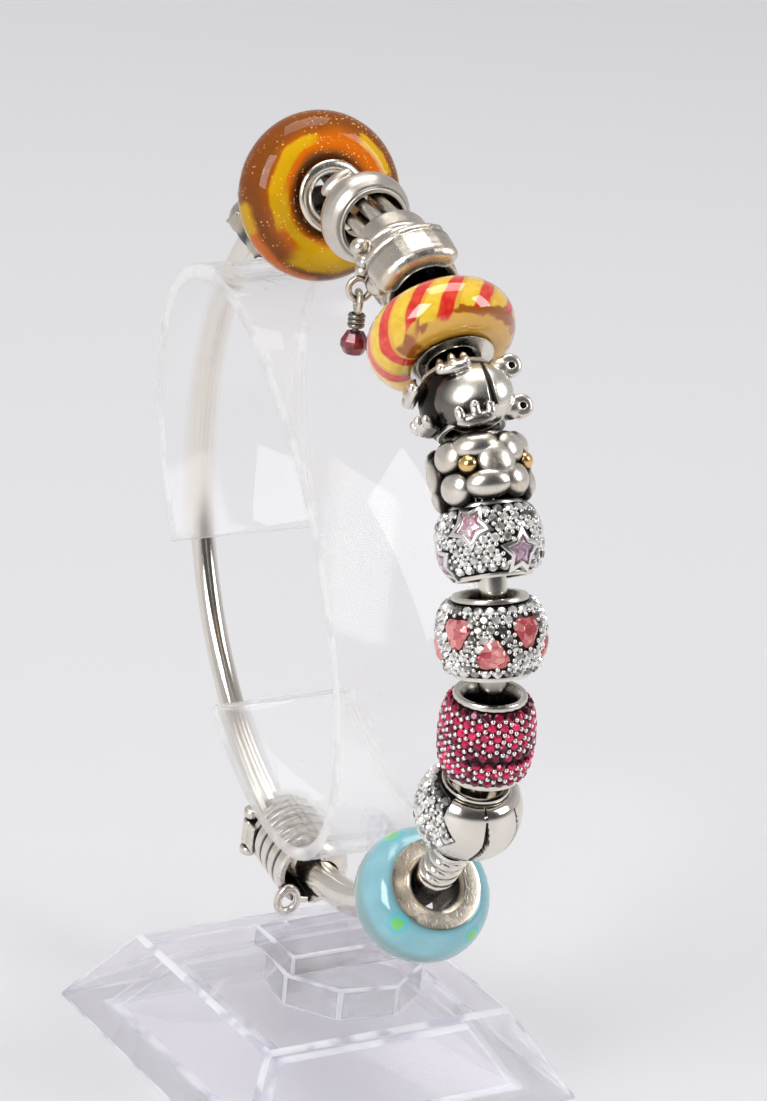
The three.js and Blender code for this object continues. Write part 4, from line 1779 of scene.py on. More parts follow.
@dataclass
class StoneBead:
    """A barrel bead set with small stones; its kinds add their own designs."""

    kit: Kit
    at: float
    front: float
    shape: Barrel
    side: float = 0.0
    tilt: float = 0.0
    name: str = "stone"
    pitch: float = 1.12
    stone: float = 0.48
    claw: float = 0.25
    slack: float = 1.0
    seed: int = 1
    ground_slot: Slot = Slot.OXIDISED
    ground: Finish = Silver("RingSilver", depth=0.9, film=0.25, roughness=0.24)
    bright: Finish = Silver("ClawSilver", bright=(0.92, 0.90, 0.86, 1), depth=0.45, film=0.12, roughness=0.2)
    gems: Finish = Gem("ClearStones")

    def frame(self) -> Matrix:
        """The bead's frame, turned so that angle 0 is the front of its design."""
        return self.kit.loop.seat(self.at, 0, self.side, self.tilt) @ about("Z", self.front)

    def designs(self) -> list[tuple[float, float, bool]]:
        """Angle, height and whether a point is down, for each large setting."""
        return []

    def reach(self, degrees: float, down: bool) -> float:
        """A large setting's radius in a direction of its plane."""
        return 0.0

    def free(self, degrees: float, height: float, room: float) -> bool:
        """Whether a small stone or claw may sit at a place.

        Args:
            degrees: the angle from the front.
            height: the height along the tube.
            room: the radius that it needs.

        Returns:
            True if nothing else is there.
        """
        for angle, at, down in self.designs():
            across = radians(angle_gap(degrees, angle)) * self.shape.radius(at)
            along = height - at
            if hypot(across, along) < self.reach(math.degrees(atan2(along, across)), down) + room * self.slack:
                return False
        return True

    def body(self) -> Piece:
        """The bead's ground, with bright end rings."""
        piece = turned(f"{self.name}_body", self.shape.profile(0.22), 96, ring=True, sharp=40)
        return mark(piece, "oxide_and_painted_shade", self.shape.oxide_and_painted_shade)

    def pavement(self) -> tuple[Piece, Piece]:
        """The small stones and the claws between them.

        Returns:
            The stones and the claws.
        """
        chance = random.Random(self.seed)
        rows = self.shape.rows(self.pitch, 0.3)
        stones = [self.shape.seat(angle, height, -0.15) @ Matrix.Rotation(chance.random() * 6, 4, "Z")
                  for angle, height, _ in rows if self.free(angle, height, self.stone * 0.55)]
        gems = repeated(f"{self.name}_stones", cut_stone("stone", self.stone), stones, chance)
        heights = {row: height for _, height, row in rows}
        counts = {row: sum(1 for place in rows if place[2] == row) for row in heights}
        claws = []
        for angle, height, row in rows:
            step = heights.get(row + 1, height) - height
            for turn, share in ((0.0, 0.64), (180 / counts[row], 0.32)):
                along = height + share * step
                if step and self.free(angle + turn, along, self.claw * 0.3):
                    claws.append(self.shape.seat(angle + turn, along, -0.09))
        held = repeated(f"{self.name}_claws", claw("claw", self.claw), claws, chance)
        return gems, held

    def extras(self) -> None:
        """Adds what only this kind of bead has."""

    def build(self) -> None:
        """Makes the bead."""
        frame = self.frame()
        self.kit.place(self.body(), frame, self.ground_slot, self.ground, node=f"{self.name}_bead")
        gems, held = self.pavement()
        self.kit.place(gems, frame, Slot.POLISHED, self.gems)
        self.kit.place(held, frame, Slot.POLISHED, self.bright)
        self.extras()


@dataclass
class StarBead(StoneBead):
    """Six star settings among clear stones."""

    name: str = "star"
    tip: float = 2.4
    stone_tip: float = 1.6
    waist: float = 0.56
    seed: int = 11
    pink: Finish = Gem("PinkStone", deep=(0.50, 0.22, 0.30, 1), flash=(0.98, 0.78, 0.84, 1), metallic=0.4, size=0.6)
    mauve: Finish = Gem("MauveStone", deep=(0.22, 0.12, 0.20, 1), flash=(0.70, 0.50, 0.62, 1), metallic=0.4, size=0.6)

    def designs(self) -> list[tuple[float, float, bool]]:
        """Angle, height and whether a point is down, for each star."""
        return [(20.0 + 57.5 * number, 1.5 if number % 2 else -1.4, number % 2 == 0) for number in range(-2, 4)]

    def reach(self, degrees: float, down: bool) -> float:
        """The setting's radius in a direction.

        Args:
            degrees: the direction in the setting's plane.
            down: whether a point is down.

        Returns:
            The radius.
        """
        off = radians(abs((degrees - (90 if down else -90) + 36) % 72 - 36))
        step = radians(36)
        low = self.tip * self.waist
        return self.tip * low * sin(step) / (low * sin(step - off) + self.tip * sin(off))

    def extras(self) -> None:
        """The star settings and their stones."""
        settings, pinks, mauves = [], [], []
        for angle, height, down in self.designs():
            turn = about("Z", 0 if down else 180)
            rim = star_plate("rim", self.tip, self.waist, -0.5, 0.16, 0.97)
            edit(rim)
            choose(rim, lambda face: face.normal.z > 0.9)
            bpy.ops.mesh.inset(thickness=0.38)
            extrude(0, 0, -0.35)
            close()
            apply(rim, "BEVEL", width=0.06, segments=2, limit_method="ANGLE")
            stone = star_plate("stone", self.stone_tip, self.waist, -0.3, 0.1, 0.62)
            for piece, heap in ((rim, settings), (stone, pinks if down else mauves)):
                piece.data.transform(turn)
                heap.append(self.shape.wrap(piece, angle, height))
        frame = self.frame()
        self.kit.place(smooth(joined("star_settings", settings), 40), frame, Slot.POLISHED, self.bright)
        for name, stones, gem in (("star_pinks", pinks, self.pink), ("star_mauves", mauves, self.mauve)):
            # one brightness for all these stones, for their painted glints
            self.kit.place(mark(joined(name, stones), "shade", lambda point: 0.3), frame, Slot.RED_STONE, gem)


@dataclass
class TrillionBead(StoneBead):
    """Eight rounded three-cornered stones, up and down in turn, among clear stones."""

    name: str = "trillion"
    half_width: float = 1.62
    slack: float = 0.3
    seed: int = 23
    coral: Finish = Gem("CoralStone", deep=(0.46, 0.03, 0.05, 1), flash=(1.0, 0.46, 0.42, 1), metallic=0.35, size=1.1)

    def designs(self) -> list[tuple[float, float, bool]]:
        """Angle, height and whether a corner is down, for each stone."""
        return [(-2.0 + 42.5 * number, -0.95 if number % 2 else 1.15, number % 2 == 1) for number in range(-3, 5)]

    def reach(self, degrees: float, down: bool) -> float:
        """The stone's radius in a direction."""
        corner = 90 if down else -90
        return self.half_width * (0.93 + 0.17 * cos(3 * radians(degrees - corner)))

    def large_stone(self, down: bool) -> Piece:
        """One large stone, lying flat: girdle, two steps of crown and a table.

        Args:
            down: whether a point is down.

        Returns:
            The piece.
        """
        piece = primitive("large_stone", bpy.ops.mesh.primitive_cylinder_add, vertices=24, radius=1, depth=0.3)

        def outline(point: Vector) -> Vector:
            """Gives the round blank its three corners."""
            reach = self.reach(bearing(point), down)
            return Vector((point.x * reach, point.y * reach * 0.92, point.z - 0.15))

        reshape(piece, outline)
        edit(piece)
        choose(piece, lambda face: face.normal.z > 0.9)
        for lift, share in ((0.16, 0.8), (0.16, 0.62)):
            extrude(0, 0, lift)
            widen(share)
            bpy.ops.transform.rotate(value=radians(7.5), orient_axis="Z", center_override=(0, 0, 0))
        close()
        return piece

    def extras(self) -> None:
        """The large stones and their corner claws."""
        large, claws = [], []
        for angle, height, down in self.designs():
            large.append(self.shape.wrap(self.large_stone(down), angle, height, -0.16))
            corner = 90 if down else -90
            for turn in (0, 120, 240):
                direction = radians(corner + turn)
                reach = self.reach(corner + turn, down) + 0.02
                grip = claw("grip", 0.23)
                grip.data.transform(Matrix.Translation((reach * cos(direction), reach * sin(direction) * 0.92, 0.0)))
                claws.append(self.shape.wrap(grip, angle, height))
        frame = self.frame()
        # one brightness for all large stones, for their painted glints
        self.kit.place(mark(joined("trillion_large", large), "shade", lambda point: 0.16), frame, Slot.RED_STONE,
                       self.coral)
        self.kit.place(joined("trillion_grips", claws), frame, Slot.POLISHED, self.bright)


@dataclass
class RubyBead(StoneBead):
    """Red and magenta stones all over, with a dark cleft low on one side."""

    name: str = "ruby"
    pitch: float = 1.18
    stone: float = 0.48
    claw: float = 0.28
    seed: int = 37
    cleft: float = 0.95
    gems: Finish = Gem("RedStones", deep=(0.10, 0.008, 0.035, 1), flash=(0.88, 0.02, 0.13, 1), metallic=0.4, size=0.8,
                       lit=(-2.5, -1.2, 1.9))

    def free(self, degrees: float, height: float, room: float) -> bool:
        """Whether a small stone or claw clears the cleft."""
        off = angle_gap(degrees, -45)
        return abs(off) > 62 or abs(height - self.cleft) > 0.34 + room * 0.3


@dataclass
class LeafBead(StoneBead):
    """Polished leaves with dark slits between them, and a patch of clear stones."""

    name: str = "half"
    seed: int = 41
    slits: tuple[float, ...] = (-31.0, -75.0, -119.0, -163.0)
    ground_slot: Slot = Slot.POLISHED
    ground: Finish = Silver("LeafSilver", depth=0.85, film=0.16, roughness=0.13, scratches=0.6)

    def edge(self, height: float) -> float:
        """Angle of the patch's zigzag edge at a height."""
        return 2.0 + 21.0 * min(1.0, abs(height - 0.2) / 1.9)

    def within(self, degrees: float, height: float) -> float:
        """How far a place lies inside the patch, in degrees; it is negative outside.

        Args:
            degrees: the place's angle.
            height: its height along the bead.

        Returns:
            The distance in degrees.
        """
        angle = angle_gap(degrees, 70)
        edge = 70 - self.edge(height)
        return edge - abs(angle)

    def free(self, degrees: float, height: float, room: float) -> bool:
        """Whether a small stone or claw lies in the patch."""
        return self.within(degrees, height) > math.degrees(room / 4.8) + 1.5

    def slit(self, degrees: float, height: float) -> float:
        """How deep a slit is at a place, from 0 to 1.

        Args:
            degrees: the place's angle.
            height: its height along the bead.

        Returns:
            The depth.
        """
        deepest = 0.0
        for slit in self.slits:
            line = slit + 13 * rise(0, 3.4, height) + 4 * rise(0, 3.4, -height)
            width = 0.5 + 2.3 * max(0.0, 1 - ((height - 0.9) / 3.0) ** 2)
            deepest = max(deepest, 1 - rise(width * 0.75, width * 1.15, abs(angle_gap(degrees, line))))
        return deepest

    def body(self) -> Piece:
        """The bead, with its leaves, its slits and the ground of its patch.

        Returns:
            The piece.
        """
        inner = self.shape.length / 2 - self.shape.lip
        piece = turned("half_body", self.shape.profile(0.0, 64), 240, ring=True, sharp=50)

        def shaped(point: Vector) -> Vector:
            """Sinks the patch and the slits.

            Args:
                point: a point of the bead.

            Returns:
                The moved point.
            """
            radius = off_axis(point)
            if abs(point.z) > inner or radius < self.shape.ring - 0.4:
                return point
            degrees = bearing(point)
            sunk = 0.2 * rise(-0.8, 1.0, self.within(degrees, point.z))
            sunk = max(sunk, 0.45 * self.slit(degrees, point.z))
            share = (radius - sunk) / radius
            return Vector((point.x * share, point.y * share, point.z))

        def oxide_and_painted_shade(point: Vector) -> float:
            """Where the metal is left black.

            Args:
                point: a point of the bead.

            Returns:
                A value from 0 to 1.
            """
            if abs(point.z) > inner or off_axis(point) < self.shape.ring - 0.6:
                return 0.0
            degrees = bearing(point)
            return max(rise(-0.4, 0.6, self.within(degrees, point.z)), rise(0.25, 0.6, self.slit(degrees, point.z)))

        reshape(piece, shaped)
        mark(piece, "oxide_and_painted_shade", oxide_and_painted_shade)
        return smooth(piece, 60)


# ---- cast charms
@dataclass
class DomeSpacer:
    """A dome-shaped spacer with a hollow mouth and an oval thumb tab."""

    kit: Kit
    at: float = 2.5
    side: float = -0.15
    bore: float = 2.2

    def build(self) -> None:
        """Makes the spacer."""
        outer = [(self.bore, -1.9), (self.bore + 0.2, -2.1), (2.7, -2.05), (3.1, -1.85), (3.75, -1.1), (4.25, -0.3),
                 (4.53, 0.4), (4.6, 0.9), (4.48, 1.45), (4.2, 2.0), (3.85, 2.45), (3.62, 2.66), (3.6, 3.0),
                 (3.5, 3.08), (3.2, 3.08), (3.12, 2.9), (3.1, 1.4), (2.6, 0.7), (self.bore, 0.4)]
        dome = turned("dome", outer, 96, ring=True)
        tab = pebble("tab", (0.8, 1.9, 0.9), (3.1, 2.4, -1.1), (0, 0, 38), 4)
        piece = cast("dome_spacer_body", [dome, tab], 0.08, 2)
        # painted shade inside the hollow mouth, and a painted shade line in the crease under the lip
        mark(piece, "oxide_and_painted_shade", lambda point: float(off_axis(point) < 3.16 and point.z > 0.2)
             + 0.55 * (1 - rise(0.12, 0.3, abs(point.z - 2.68))) * float(off_axis(point) > 3.5))
        matt = Silver("MattSilver", bright=(0.70, 0.65, 0.58, 1), depth=0.8, film=0.8, roughness=0.3, bump=0.25)
        self.kit.place(piece, self.kit.loop.seat(self.at, 0, self.side), Slot.OXIDISED, matt, node="dome_spacer")


@dataclass
class FigureCharm:
    """Pillars behind a rolled collar and a folded barrel, with a small drop at its side."""

    kit: Kit
    at: float = 18.0
    front: float = 38.7
    pillar_seat: float = 7.6
    pillar_ring: float = 2.35
    pillar: float = 0.62
    pillar_turns: tuple[float, ...] = (75.0, 30.0, -15.0, -60.0)
    eye_seat: float = 20.5
    eye_out: float = -0.6
    eye_side: float = 4.7
    eye_fall: float = 1.25
    eye: float = 1.05
    wire: float = 0.32

    def build(self) -> None:
        """Makes the charm and its drop."""
        loop = self.kit.loop
        place = loop.seat(self.at)
        core = turned("figure_core", [(2.3, -2.9), (3.4, -3.1), (3.85, -2.5), (3.95, 2.0), (3.8, 4.9), (3.3, 5.5),
                                      (2.9, 5.5), (2.6, 4.6)], 96, ring=True, sharp=40)
        lumps = [core, hoop("lip", 3.35, 0.36, Matrix.Translation((0, 0, 5.4)), 72)]
        folds = (  # half sizes, middle, turn
            ((0.8, 0.95, 0.9), (3.7, 2.6, -0.6), (0, 0, 0)), ((0.6, 0.6, 0.7), (3.6, 3.1, 1.4), (0, 0, 0)),
            ((1.2, 1.1, 1.5), (2.3, 3.2, 3.6), (0, 0, 0)))
        lumps += [pebble("fold", half, at, turn, 4) for half, at, turn in folds]
        for radius, wire, height, lean in ((3.6, 0.5, -0.35, -8), (3.45, 0.4, -1.6, 5), (3.2, 0.35, -2.7, 0)):
            lumps.append(hoop("roll", radius, wire, Matrix.Translation((0, 0, height)) @ about("X", lean), 72))
        for size, soft, height, lift in (((8.2, 4.4, 2.5), 1.15, 4.4, 0.35), ((6.6, 0.95, 1.0), 0.42, 2.75, 1.25)):
            pillow = apply(block("pillow", size, (0, 0, 0)), "BEVEL", width=soft, segments=5)
            apply(pillow, "SUBSURF", subdivision_type="SIMPLE", levels=3)
            lumps.append(Barrel(10.6, 3.95, 3.7, 0.3).wrap(pillow, -14, height, lift))
        for degrees, height in ((64.0, -0.6), (68.0, 0.7), (74.0, 1.9), (84.0, -0.2), (90.0, 1.2), (96.0, 2.6)):
            angle = radians(degrees)
            out = Matrix.Translation((3.95 * cos(angle), 3.95 * sin(angle), height)) \
                @ Matrix.Rotation(angle, 4, "Z") @ Matrix.Rotation(pi / 2, 4, "Y")
            lumps.append(hoop("curl", 0.5, 0.2, out, 20))
        body = cast("figure_body", lumps, 0.1, 2)

        def oxide_and_painted_shade(point: Vector) -> float:
            """How dark the painted shade is in the bore, the hollows and the crease between the pillow and its fold.

            Args:
                point: a point of the charm.

            Returns:
                A value from 0 to 1.
            """
            radius = off_axis(point)
            hollow = 0.95 * (1 - min(1.0, rise(3.05, 4.0, radius) * (1 if point.z < 5.2 else 2)))
            crease = 0.9 * (1 - rise(0.15, 0.35, abs(point.z - 3.45))) * rise(4.4, 4.6, radius) \
                * (1 - rise(5.3, 5.6, radius))
            return max(hollow, crease)

        mark(body, "oxide_and_painted_shade", oxide_and_painted_shade)
        body.data.transform(about("Z", self.front))
        matt = Silver("FigureSilver", bright=(0.74, 0.68, 0.59, 1), depth=0.95, film=0.9, roughness=0.26, bump=0.22)
        self.kit.place(body, place, Slot.POLISHED, matt, node="figure_charm")
        self.kit.place(self.pillars(), loop.seat(self.pillar_seat), Slot.POLISHED, matt)
        self.drop(matt)

    def pillars(self) -> Piece:
        """Four round-ended pillars that reach into the dome's mouth.

        Returns:
            The piece.
        """
        pieces = []
        for degrees in self.pillar_turns:
            angle = radians(degrees)
            x, y = self.pillar_ring * cos(angle), self.pillar_ring * sin(angle)
            pieces.append(rod("pillar", (x, y, -1.8), (x, y, 4.3), self.pillar, 20))
            pieces.append(pebble("cap", (self.pillar * 0.98,) * 3, (x, y, -1.75)))
        return joined("figure_pillars", pieces)

    def drop(self, metal: Finish) -> None:
        """The eye at the side, and the wire with its coils and its dark red stone.

        Args:
            metal: the finish of the wire.
        """
        loop = self.kit.loop
        eye = loop.seat(self.eye_seat, self.eye_out, self.eye_side).translation - Vector((0, 0, self.eye_fall))
        upright = Matrix.Rotation(pi / 2, 4, "X")
        ring = hoop("figure_eye", self.eye, self.wire, Matrix.Translation(eye) @ about("Z", -20) @ upright)
        lug = pebble("lug", (0.6, 0.9, 0.8), (0, 4.4, 1.4))
        lug.data.transform(loop.seat(self.at))
        fixed = joined("figure_lug", [ring, lug])
        self.kit.place(fixed, Matrix.Identity(4), Slot.POLISHED, metal)
        loop_z = eye.z - self.eye - 1.0 + 2 * self.wire + 0.15
        link = hoop("link", 1.0, self.wire, Matrix.Translation((eye.x, eye.y, loop_z)) @ about("Z", 70) @ upright)
        top = loop_z - 1.0
        shaft = rod("shaft", (eye.x, eye.y, top - 2.7), (eye.x, eye.y, top + 0.2), self.wire, 12)
        coils = [hoop("coil", 0.6, 0.25, Matrix.Translation((eye.x, eye.y, top - 0.35 - 0.45 * turn)), 20)
                 for turn in range(3)]
        hung = mark(joined("drop_link", [link, shaft, *coils]), "oxide_and_painted_shade",
                    lambda point: 0.6 * float(top - 1.6 < point.z < top))
        self.kit.place(hung, Matrix.Identity(4), Slot.POLISHED, metal, node="drop_wire")
        stone_at = top - 0.5 - 0.7 - 0.4 - 0.3 - 1.1
        stone = turned("drop_bead", [(0.5, -1.1), (0.9, -1.05), (1.35, -0.3), (1.35, 0.3), (0.9, 1.05), (0.5, 1.1)], 9,
                       ring=True, sharp=5)
        dark = Gem("DarkRedStone", deep=(0.12, 0.006, 0.012, 1), flash=(0.36, 0.03, 0.05, 1), metallic=0.1, size=0.8)
        self.kit.place(stone, Matrix.Translation((eye.x, eye.y, stone_at)), Slot.RED_STONE, dark, node="drop_stone")


@dataclass
class FrogCharm:
    """A frog that clings to a blackened barrel."""

    kit: Kit
    shape: Barrel
    at: float = 47.0
    front: float = 27.8
    eyes: tuple[float, float] = (-1.8, 2.3)
    metal: Finish = Silver("FrogSilver", depth=0.9, film=0.35, roughness=0.27, scratches=0.5, bump=0.1)

    def foot(self, degrees: float, height: float, heading: float, lift: float) -> list[Piece]:
        """A foot with three toes, lying on the barrel.

        Args:
            degrees: the angle from the front.
            height: the height along the tube.
            heading: where the toes point in the surface, in degrees; 0 is towards growing angles.
            lift: distance from the barrel.

        Returns:
            Its lumps.
        """
        lumps = [pebble("pad", (1.45, 0.7, 0.65), (0, -0.35, 0.2))]
        for toe in (-1, 0, 1):
            lumps.append(pebble("toe", (0.36, 0.75, 0.5), (1.0 * toe, 0.35 - 0.15 * abs(toe), 0.55)))
        for lump in lumps:
            lump.data.transform(about("Z", heading))
            self.shape.wrap(lump, degrees, height, lift)
        return lumps

    def build(self) -> None:
        """Makes the barrel and the frog."""
        frame = self.kit.loop.seat(self.at) @ about("Z", self.front)
        barrel = turned("frog_barrel", self.shape.profile(0.1), 96, ring=True, sharp=40)
        mark(barrel, "oxide_and_painted_shade", self.shape.oxide_and_painted_shade)
        self.kit.place(barrel, frame, Slot.OXIDISED, StoneBead.ground, node="frog_charm")
        facing = Vector((0.92, -0.3, 0.25)).normalized()
        lumps = [pebble("back", (2.75, 3.8, 3.2), (2.3, -0.95, 0.65), detail=5)]
        for height in self.eyes:
            lumps.append(pebble("brow", (1.0, 1.3, 1.1), (1.3, -4.0, height)))
            middle = Vector((1.1, -4.9, height))
            lumps.append(rod("eye", middle - facing * 0.9, middle + facing * 0.8, 1.15, 40))
        feet = ((0.0, -2.3, 180.0, 0.35), (-10.0, 3.15, 180.0, 1.0), (70.0, -1.5, 195.0, 0.4), (64.0, 2.1, 165.0, 0.4))
        for degrees, height, heading, lift in feet:
            lumps += self.foot(degrees, height, heading, lift)
        frog = cast("frog", lumps, 0.1, 3)

        def engraved(point: Vector) -> Vector:
            """Cuts the mouth and drills the eyes."""
            for height in self.eyes:
                middle = Vector((1.1, -5.0, height))
                away = point - middle
                across = (away - facing * away.dot(facing)).length
                if away.dot(facing) > 0.4:
                    point = point - facing * 0.5 * (1 - rise(0.2, 0.34, across))
            return point - Vector((1, -0.2, 0)) * 0.3 * self.mouth(point)

        # dark mouth and pupils, with painted shade round the foot and near the barrel
        mark(frog, "oxide_and_painted_shade", lambda point: max(self.mouth(point), self.pupil(point, facing), self.crease(point)))
        reshape(frog, engraved)
        self.kit.place(frog, frame, Slot.POLISHED, self.metal)

    def crease(self, point: Vector) -> float:
        """How dark the painted shade is on the back round its foot and near the barrel, from 0 to 1.

        Args:
            point: a point of the back.

        Returns:
            The darkness.
        """
        radius = off_axis(point)
        across = radians(angle_gap(bearing(point), -10)) * radius
        near = 1 - rise(1.5, 2.1, hypot(across, (point.z - 2.9) * 1.4))
        foot = 0.85 * near * (1 - rise(5.05, 5.35, radius)) * float(point.z > 1.2)
        return max(foot, 0.8 * (1 - rise(4.55, 4.95, radius)) * float(point.y > 0))

    def mouth(self, point: Vector) -> float:
        """How deep the mouth is at a point, from 0 to 1.

        Args:
            point: a point of the frog.

        Returns:
            The depth.
        """
        if point.x < 2.2 or abs(point.z) > 2.5:
            return 0.0
        line = -2.7 - 0.05 * point.z - 0.1 * cos(point.z)
        width = 0.07 + 0.09 * rise(-2.4, 2.0, point.z)
        return 1 - rise(width, width * 2.2, abs(point.y - line))

    def pupil(self, point: Vector, facing: Vector) -> float:
        """How dark a pupil is at a point, from 0 to 1."""
        for height in self.eyes:
            away = point - Vector((1.1, -5.0, height))
            if away.dot(facing) > 0.3:
                dark = 1 - rise(0.24, 0.34, (away - facing * away.dot(facing)).length)
                if dark > 0:
                    return dark
        return 0.0


@dataclass
class FlowerBead:
    """Puffed petals round four gold centres."""

    kit: Kit
    shape: Barrel
    at: float = 57.3
    tilt: float = -2.0
    front: float = 26.4
    turns: tuple[float, ...] = (12.0, -76.0, -162.0, 120.0)
    shift: float = 0.5
    full: Barrel = field(default_factory=lambda: Barrel(5.6, 4.05, 3.6, 0.0))
    petals: tuple[tuple[float, float, float, float], ...] = (
        (184.0, 2.65, 1.8, 1.8), (-114.0, 2.0, 2.15, 1.2), (-35.0, 2.25, 1.5, 1.5), (45.0, 2.5, 1.55, 1.5),
        (128.0, 2.4, 2.2, 1.3))

    def build(self) -> None:
        """Makes the petals, their ground and the gold centres."""
        frame = self.kit.loop.seat(self.at, 0, 0, self.tilt) @ about("Z", self.front)
        ground = turned("flower_ground", self.shape.profile(0.05), 96, ring=True, sharp=40)
        mark(ground, "oxide_and_painted_shade", self.shape.oxide_and_painted_shade)
        self.kit.place(ground, frame, Slot.OXIDISED, StoneBead.ground, node="flower_bead")
        lumps, centres = [], []
        for degrees in self.turns:
            for direction, away, wide, high in self.petals:
                lump = pebble("petal", (wide * 1.12, high * 1.08, 0.84), detail=4)
                # painted shade on the lower part of each petal, for the creases between petals
                mark(lump, "oxide_and_painted_shade", lambda point: 1 - rise(0.4, 0.6, point.z))
                angle = radians(direction)
                height = away * sin(angle)
                lump.data.transform(Matrix.Translation((away * cos(angle), 0, 0)))
                lumps.append(self.full.wrap(lump, degrees, height, 0.08))
            centres.append(self.full.wrap(pebble("centre", (0.85, 0.85, 0.85), detail=4), degrees, -0.1, 0.25))
        petals = smooth(joined("flower_petals", lumps), 80)
        for piece in (petals, *centres):
            piece.data.transform(Matrix.Translation((0, 0, self.shift)))
        silver = Silver("PetalSilver", bright=(0.80, 0.75, 0.67, 1), reach=0.0013, depth=1.0, film=0.75, roughness=0.24)
        self.kit.place(petals, frame, Slot.POLISHED, silver)
        gold = Gold("GoldBalls", depth=0.8, film=0.2, roughness=0.2)
        self.kit.place(smooth(joined("flower_centres", centres), 80), frame, Slot.POLISHED, gold)


@dataclass
class PetalCharm:
    """Long rounded petals round a plain barrel."""

    kit: Kit
    shape: Barrel
    at: float = -32.5
    count: int = 6

    def build(self) -> None:
        """Makes the charm."""
        core = turned("core", self.shape.profile(0.0), 72, ring=True, sharp=40)
        lumps = [core]
        for number in range(self.count):
            angle = 360 * number / self.count + 90
            place = about("Z", angle) @ Matrix.Translation((3.2, 0, 0))
            petal = pebble("petal", (1.45, 1.7, 2.7), detail=4)
            petal.data.transform(place)
            vein = rod("vein", (4.6, 0, -1.5), (4.6, 0, 1.4), 0.2, 8)
            vein.data.transform(about("Z", angle))
            lumps += [petal, vein]
        piece = cast("petal_charm_body", lumps, 0.11, 3)
        mark(piece, "oxide_and_painted_shade", lambda point: 1 - rise(3.8, 4.4, off_axis(point)))
        silver = Silver("PetalCharmSilver", bright=(0.5, 0.45, 0.37, 1), depth=0.95, film=0.6, roughness=0.22, bump=0.2)
        self.kit.place(piece, self.kit.loop.seat(self.at), Slot.POLISHED, silver, node="petal_charm")


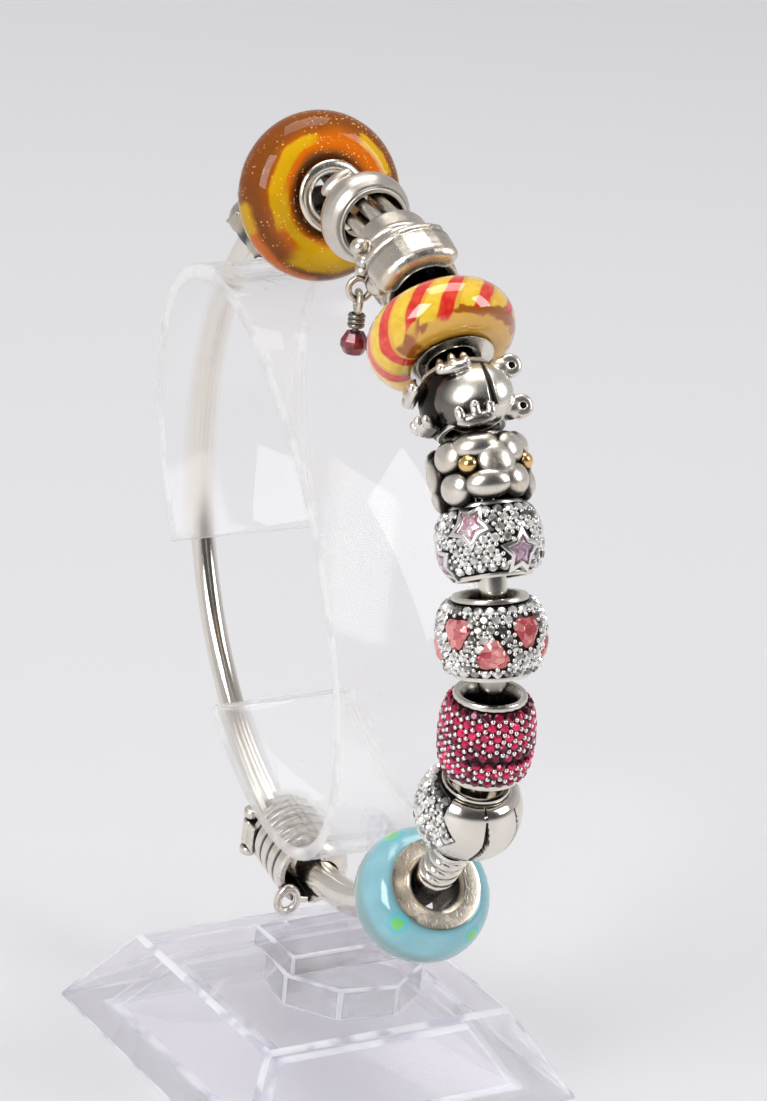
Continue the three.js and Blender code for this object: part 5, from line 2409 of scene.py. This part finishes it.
# ---- studio
@dataclass
class Studio:
    """Floor and backdrop, soft lights and the camera."""

    base: Vector
    camera_at: tuple[float, float, float] = (-0.1815, -0.28882, 0.1744)  # from the middle of the stand's base
    yaw: float = 0.567
    pitch: float = 0.337
    roll: float = 0.100
    lens: float = 119.8
    grey: Colour = (0.74, 0.735, 0.75, 1)

    def camera(self) -> None:
        """The camera, from three quarters and a little above."""
        forward = Vector((sin(self.yaw) * cos(self.pitch), cos(self.yaw) * cos(self.pitch), -sin(self.pitch)))
        level = Vector((cos(self.yaw), -sin(self.yaw), 0))
        above = level.cross(forward)
        right = level * cos(self.roll) + above * sin(self.roll)
        up = above * cos(self.roll) - level * sin(self.roll)
        data = bpy.data.cameras.new("camera")
        data.lens, data.sensor_width, data.clip_start, data.clip_end = self.lens, 36, 0.01, 20
        camera = bpy.data.objects.new("camera", data)
        camera.matrix_world = Matrix.Translation(self.base * MM + Vector(self.camera_at)) @ Matrix(
            (right, up, -forward)).transposed().to_4x4()
        bpy.context.scene.collection.objects.link(camera)
        bpy.context.scene.camera = camera

    def light(self, name: str, at: Sequence[float], size: tuple[float, float], watts: float,
              target: Sequence[float] = (0, 0, 0.05)) -> None:
        """A rectangular soft light.

        Args:
            name: its name.
            at: where it is.
            size: its width and height.
            watts: its power.
            target: what it faces.
        """
        data = bpy.data.lights.new(name, "AREA")
        data.shape, data.size, data.size_y, data.energy = "RECTANGLE", size[0], size[1], watts
        lamp = bpy.data.objects.new(name, data)
        lamp.location = at
        lamp.rotation_euler = (Vector(target) - Vector(at)).to_track_quat("-Z", "Y").to_euler()
        bpy.context.scene.collection.objects.link(lamp)

    def build(self) -> None:
        """Makes the floor, the lights and the camera."""
        bpy.context.scene.view_settings.view_transform = "Standard"
        bpy.ops.object.select_all(action="DESELECT")
        bpy.ops.mesh.primitive_plane_add(size=6)
        floor = latest("floor")
        floor.data.transform(Matrix.Translation((0, 0, -0.0002)))
        material = bpy.data.materials.new("PaleFloor")
        material.use_nodes = True
        shader = material.node_tree.nodes["Principled BSDF"]
        graph = Graph(material.node_tree)
        place = graph.add("ShaderNodeTexCoord").outputs["Object"]
        shade = graph.blend(graph.noise(place, 4.0), self.grey, tuple(c * 1.03 for c in self.grey[:3]) + (1,))
        graph.wire(shader, {"Base Color": shade, "Roughness": 0.6})
        floor.data.materials.append(material)
        world = bpy.data.worlds.new("studio")
        world.use_nodes = True
        sky = Graph(world.node_tree)
        direction = sky.add("ShaderNodeTexCoord").outputs["Generated"]
        height = sky.add("ShaderNodeSeparateXYZ", None, {0: direction}).outputs[2]
        tone = sky.blend(sky.smooth(height, 0.0, 0.8), (0.58, 0.575, 0.60, 1), (0.34, 0.337, 0.345, 1))
        ahead = sky.times(sky.add("ShaderNodeSeparateXYZ", None, {0: direction}).outputs[1], -1.0)
        tone = sky.blend(sky.times(sky.smooth(ahead, 0.1, 0.8), sky.smooth(height, -0.05, 0.15)), tone,
                         (0.07, 0.07, 0.075, 1))
        sky.tree.links.new(tone, world.node_tree.nodes["Background"].inputs["Color"])
        world.node_tree.nodes["Background"].inputs["Strength"].default_value = 1.0
        bpy.context.scene.world = world
        self.light("left_box", (-1.3, -0.6, 0.95), (0.7, 1.0), 15)
        self.light("right_box", (1.1, -1.0, 0.9), (0.6, 0.9), 9)
        self.light("top_box", (0.1, 0.25, 1.5), (1.1, 0.9), 10)
        self.camera()


def main() -> None:
    logging.basicConfig(level=logging.INFO, format="%(name)s: %(message)s")
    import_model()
    low, high = (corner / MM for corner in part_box("stand_base"))
    base = Vector(((low.x + high.x) / 2, (low.y + high.y) / 2, 0))
    kit = Kit(Loop(base), Workshop(Effects()))
    Studio(base).build()
    Stand(kit, base).build()
    Bangle(kit).build()
    GlassBead(kit, "amber", -13.2, 8.5, 3.3, 2.95, 3.7, 2.25, 3.75, Slot.AMBER,
              ClearGlass("AmberSkin"), AmberSwirl("AmberSwirl"), out=0.25).build()
    GlassBead(kit, "striped", 35.3, 7.2, 2.95, 2.95, 4.1, 2.2, 3.3, Slot.HONEY, StripedGlass("StripedGlass")).build()
    GlassBead(kit, "turquoise", 139.0, 6.8, 3.6, 3.15, 4.6, 2.5, 3.9, Slot.BLUE,
              DottedGlass("DottedGlass"), out=0.45, side=-0.3, metal=(0.76, 0.69, 0.59, 1)).build()
    PetalCharm(kit, Barrel(7.0, 3.7, 3.1, 0.5)).build()
    DomeSpacer(kit).build()
    FigureCharm(kit).build()
    FrogCharm(kit, Barrel(6.2, 4.3, 3.3, 0.5)).build()
    FlowerBead(kit, Barrel(5.2, 3.9, 3.2, 0.4)).build()
    StarBead(kit, 68.3, 25.9, Barrel(7.0, 4.95, 3.6, 0.5), tilt=-4.0).build()
    TrillionBead(kit, 82.3, 26.9, Barrel(7.6, 5.15, 3.6, 0.5), side=0.3, tilt=-4.5).build()
    RubyBead(kit, 98.4, 29.9, Barrel(8.6, 4.5, 3.5, 0.6), tilt=-6.0).build()
    LeafBead(kit, 113.0, 36.2, Barrel(7.4, 5.1, 3.3, 0.4), tilt=-5.0).build()


if __name__ == "__main__":
    main()
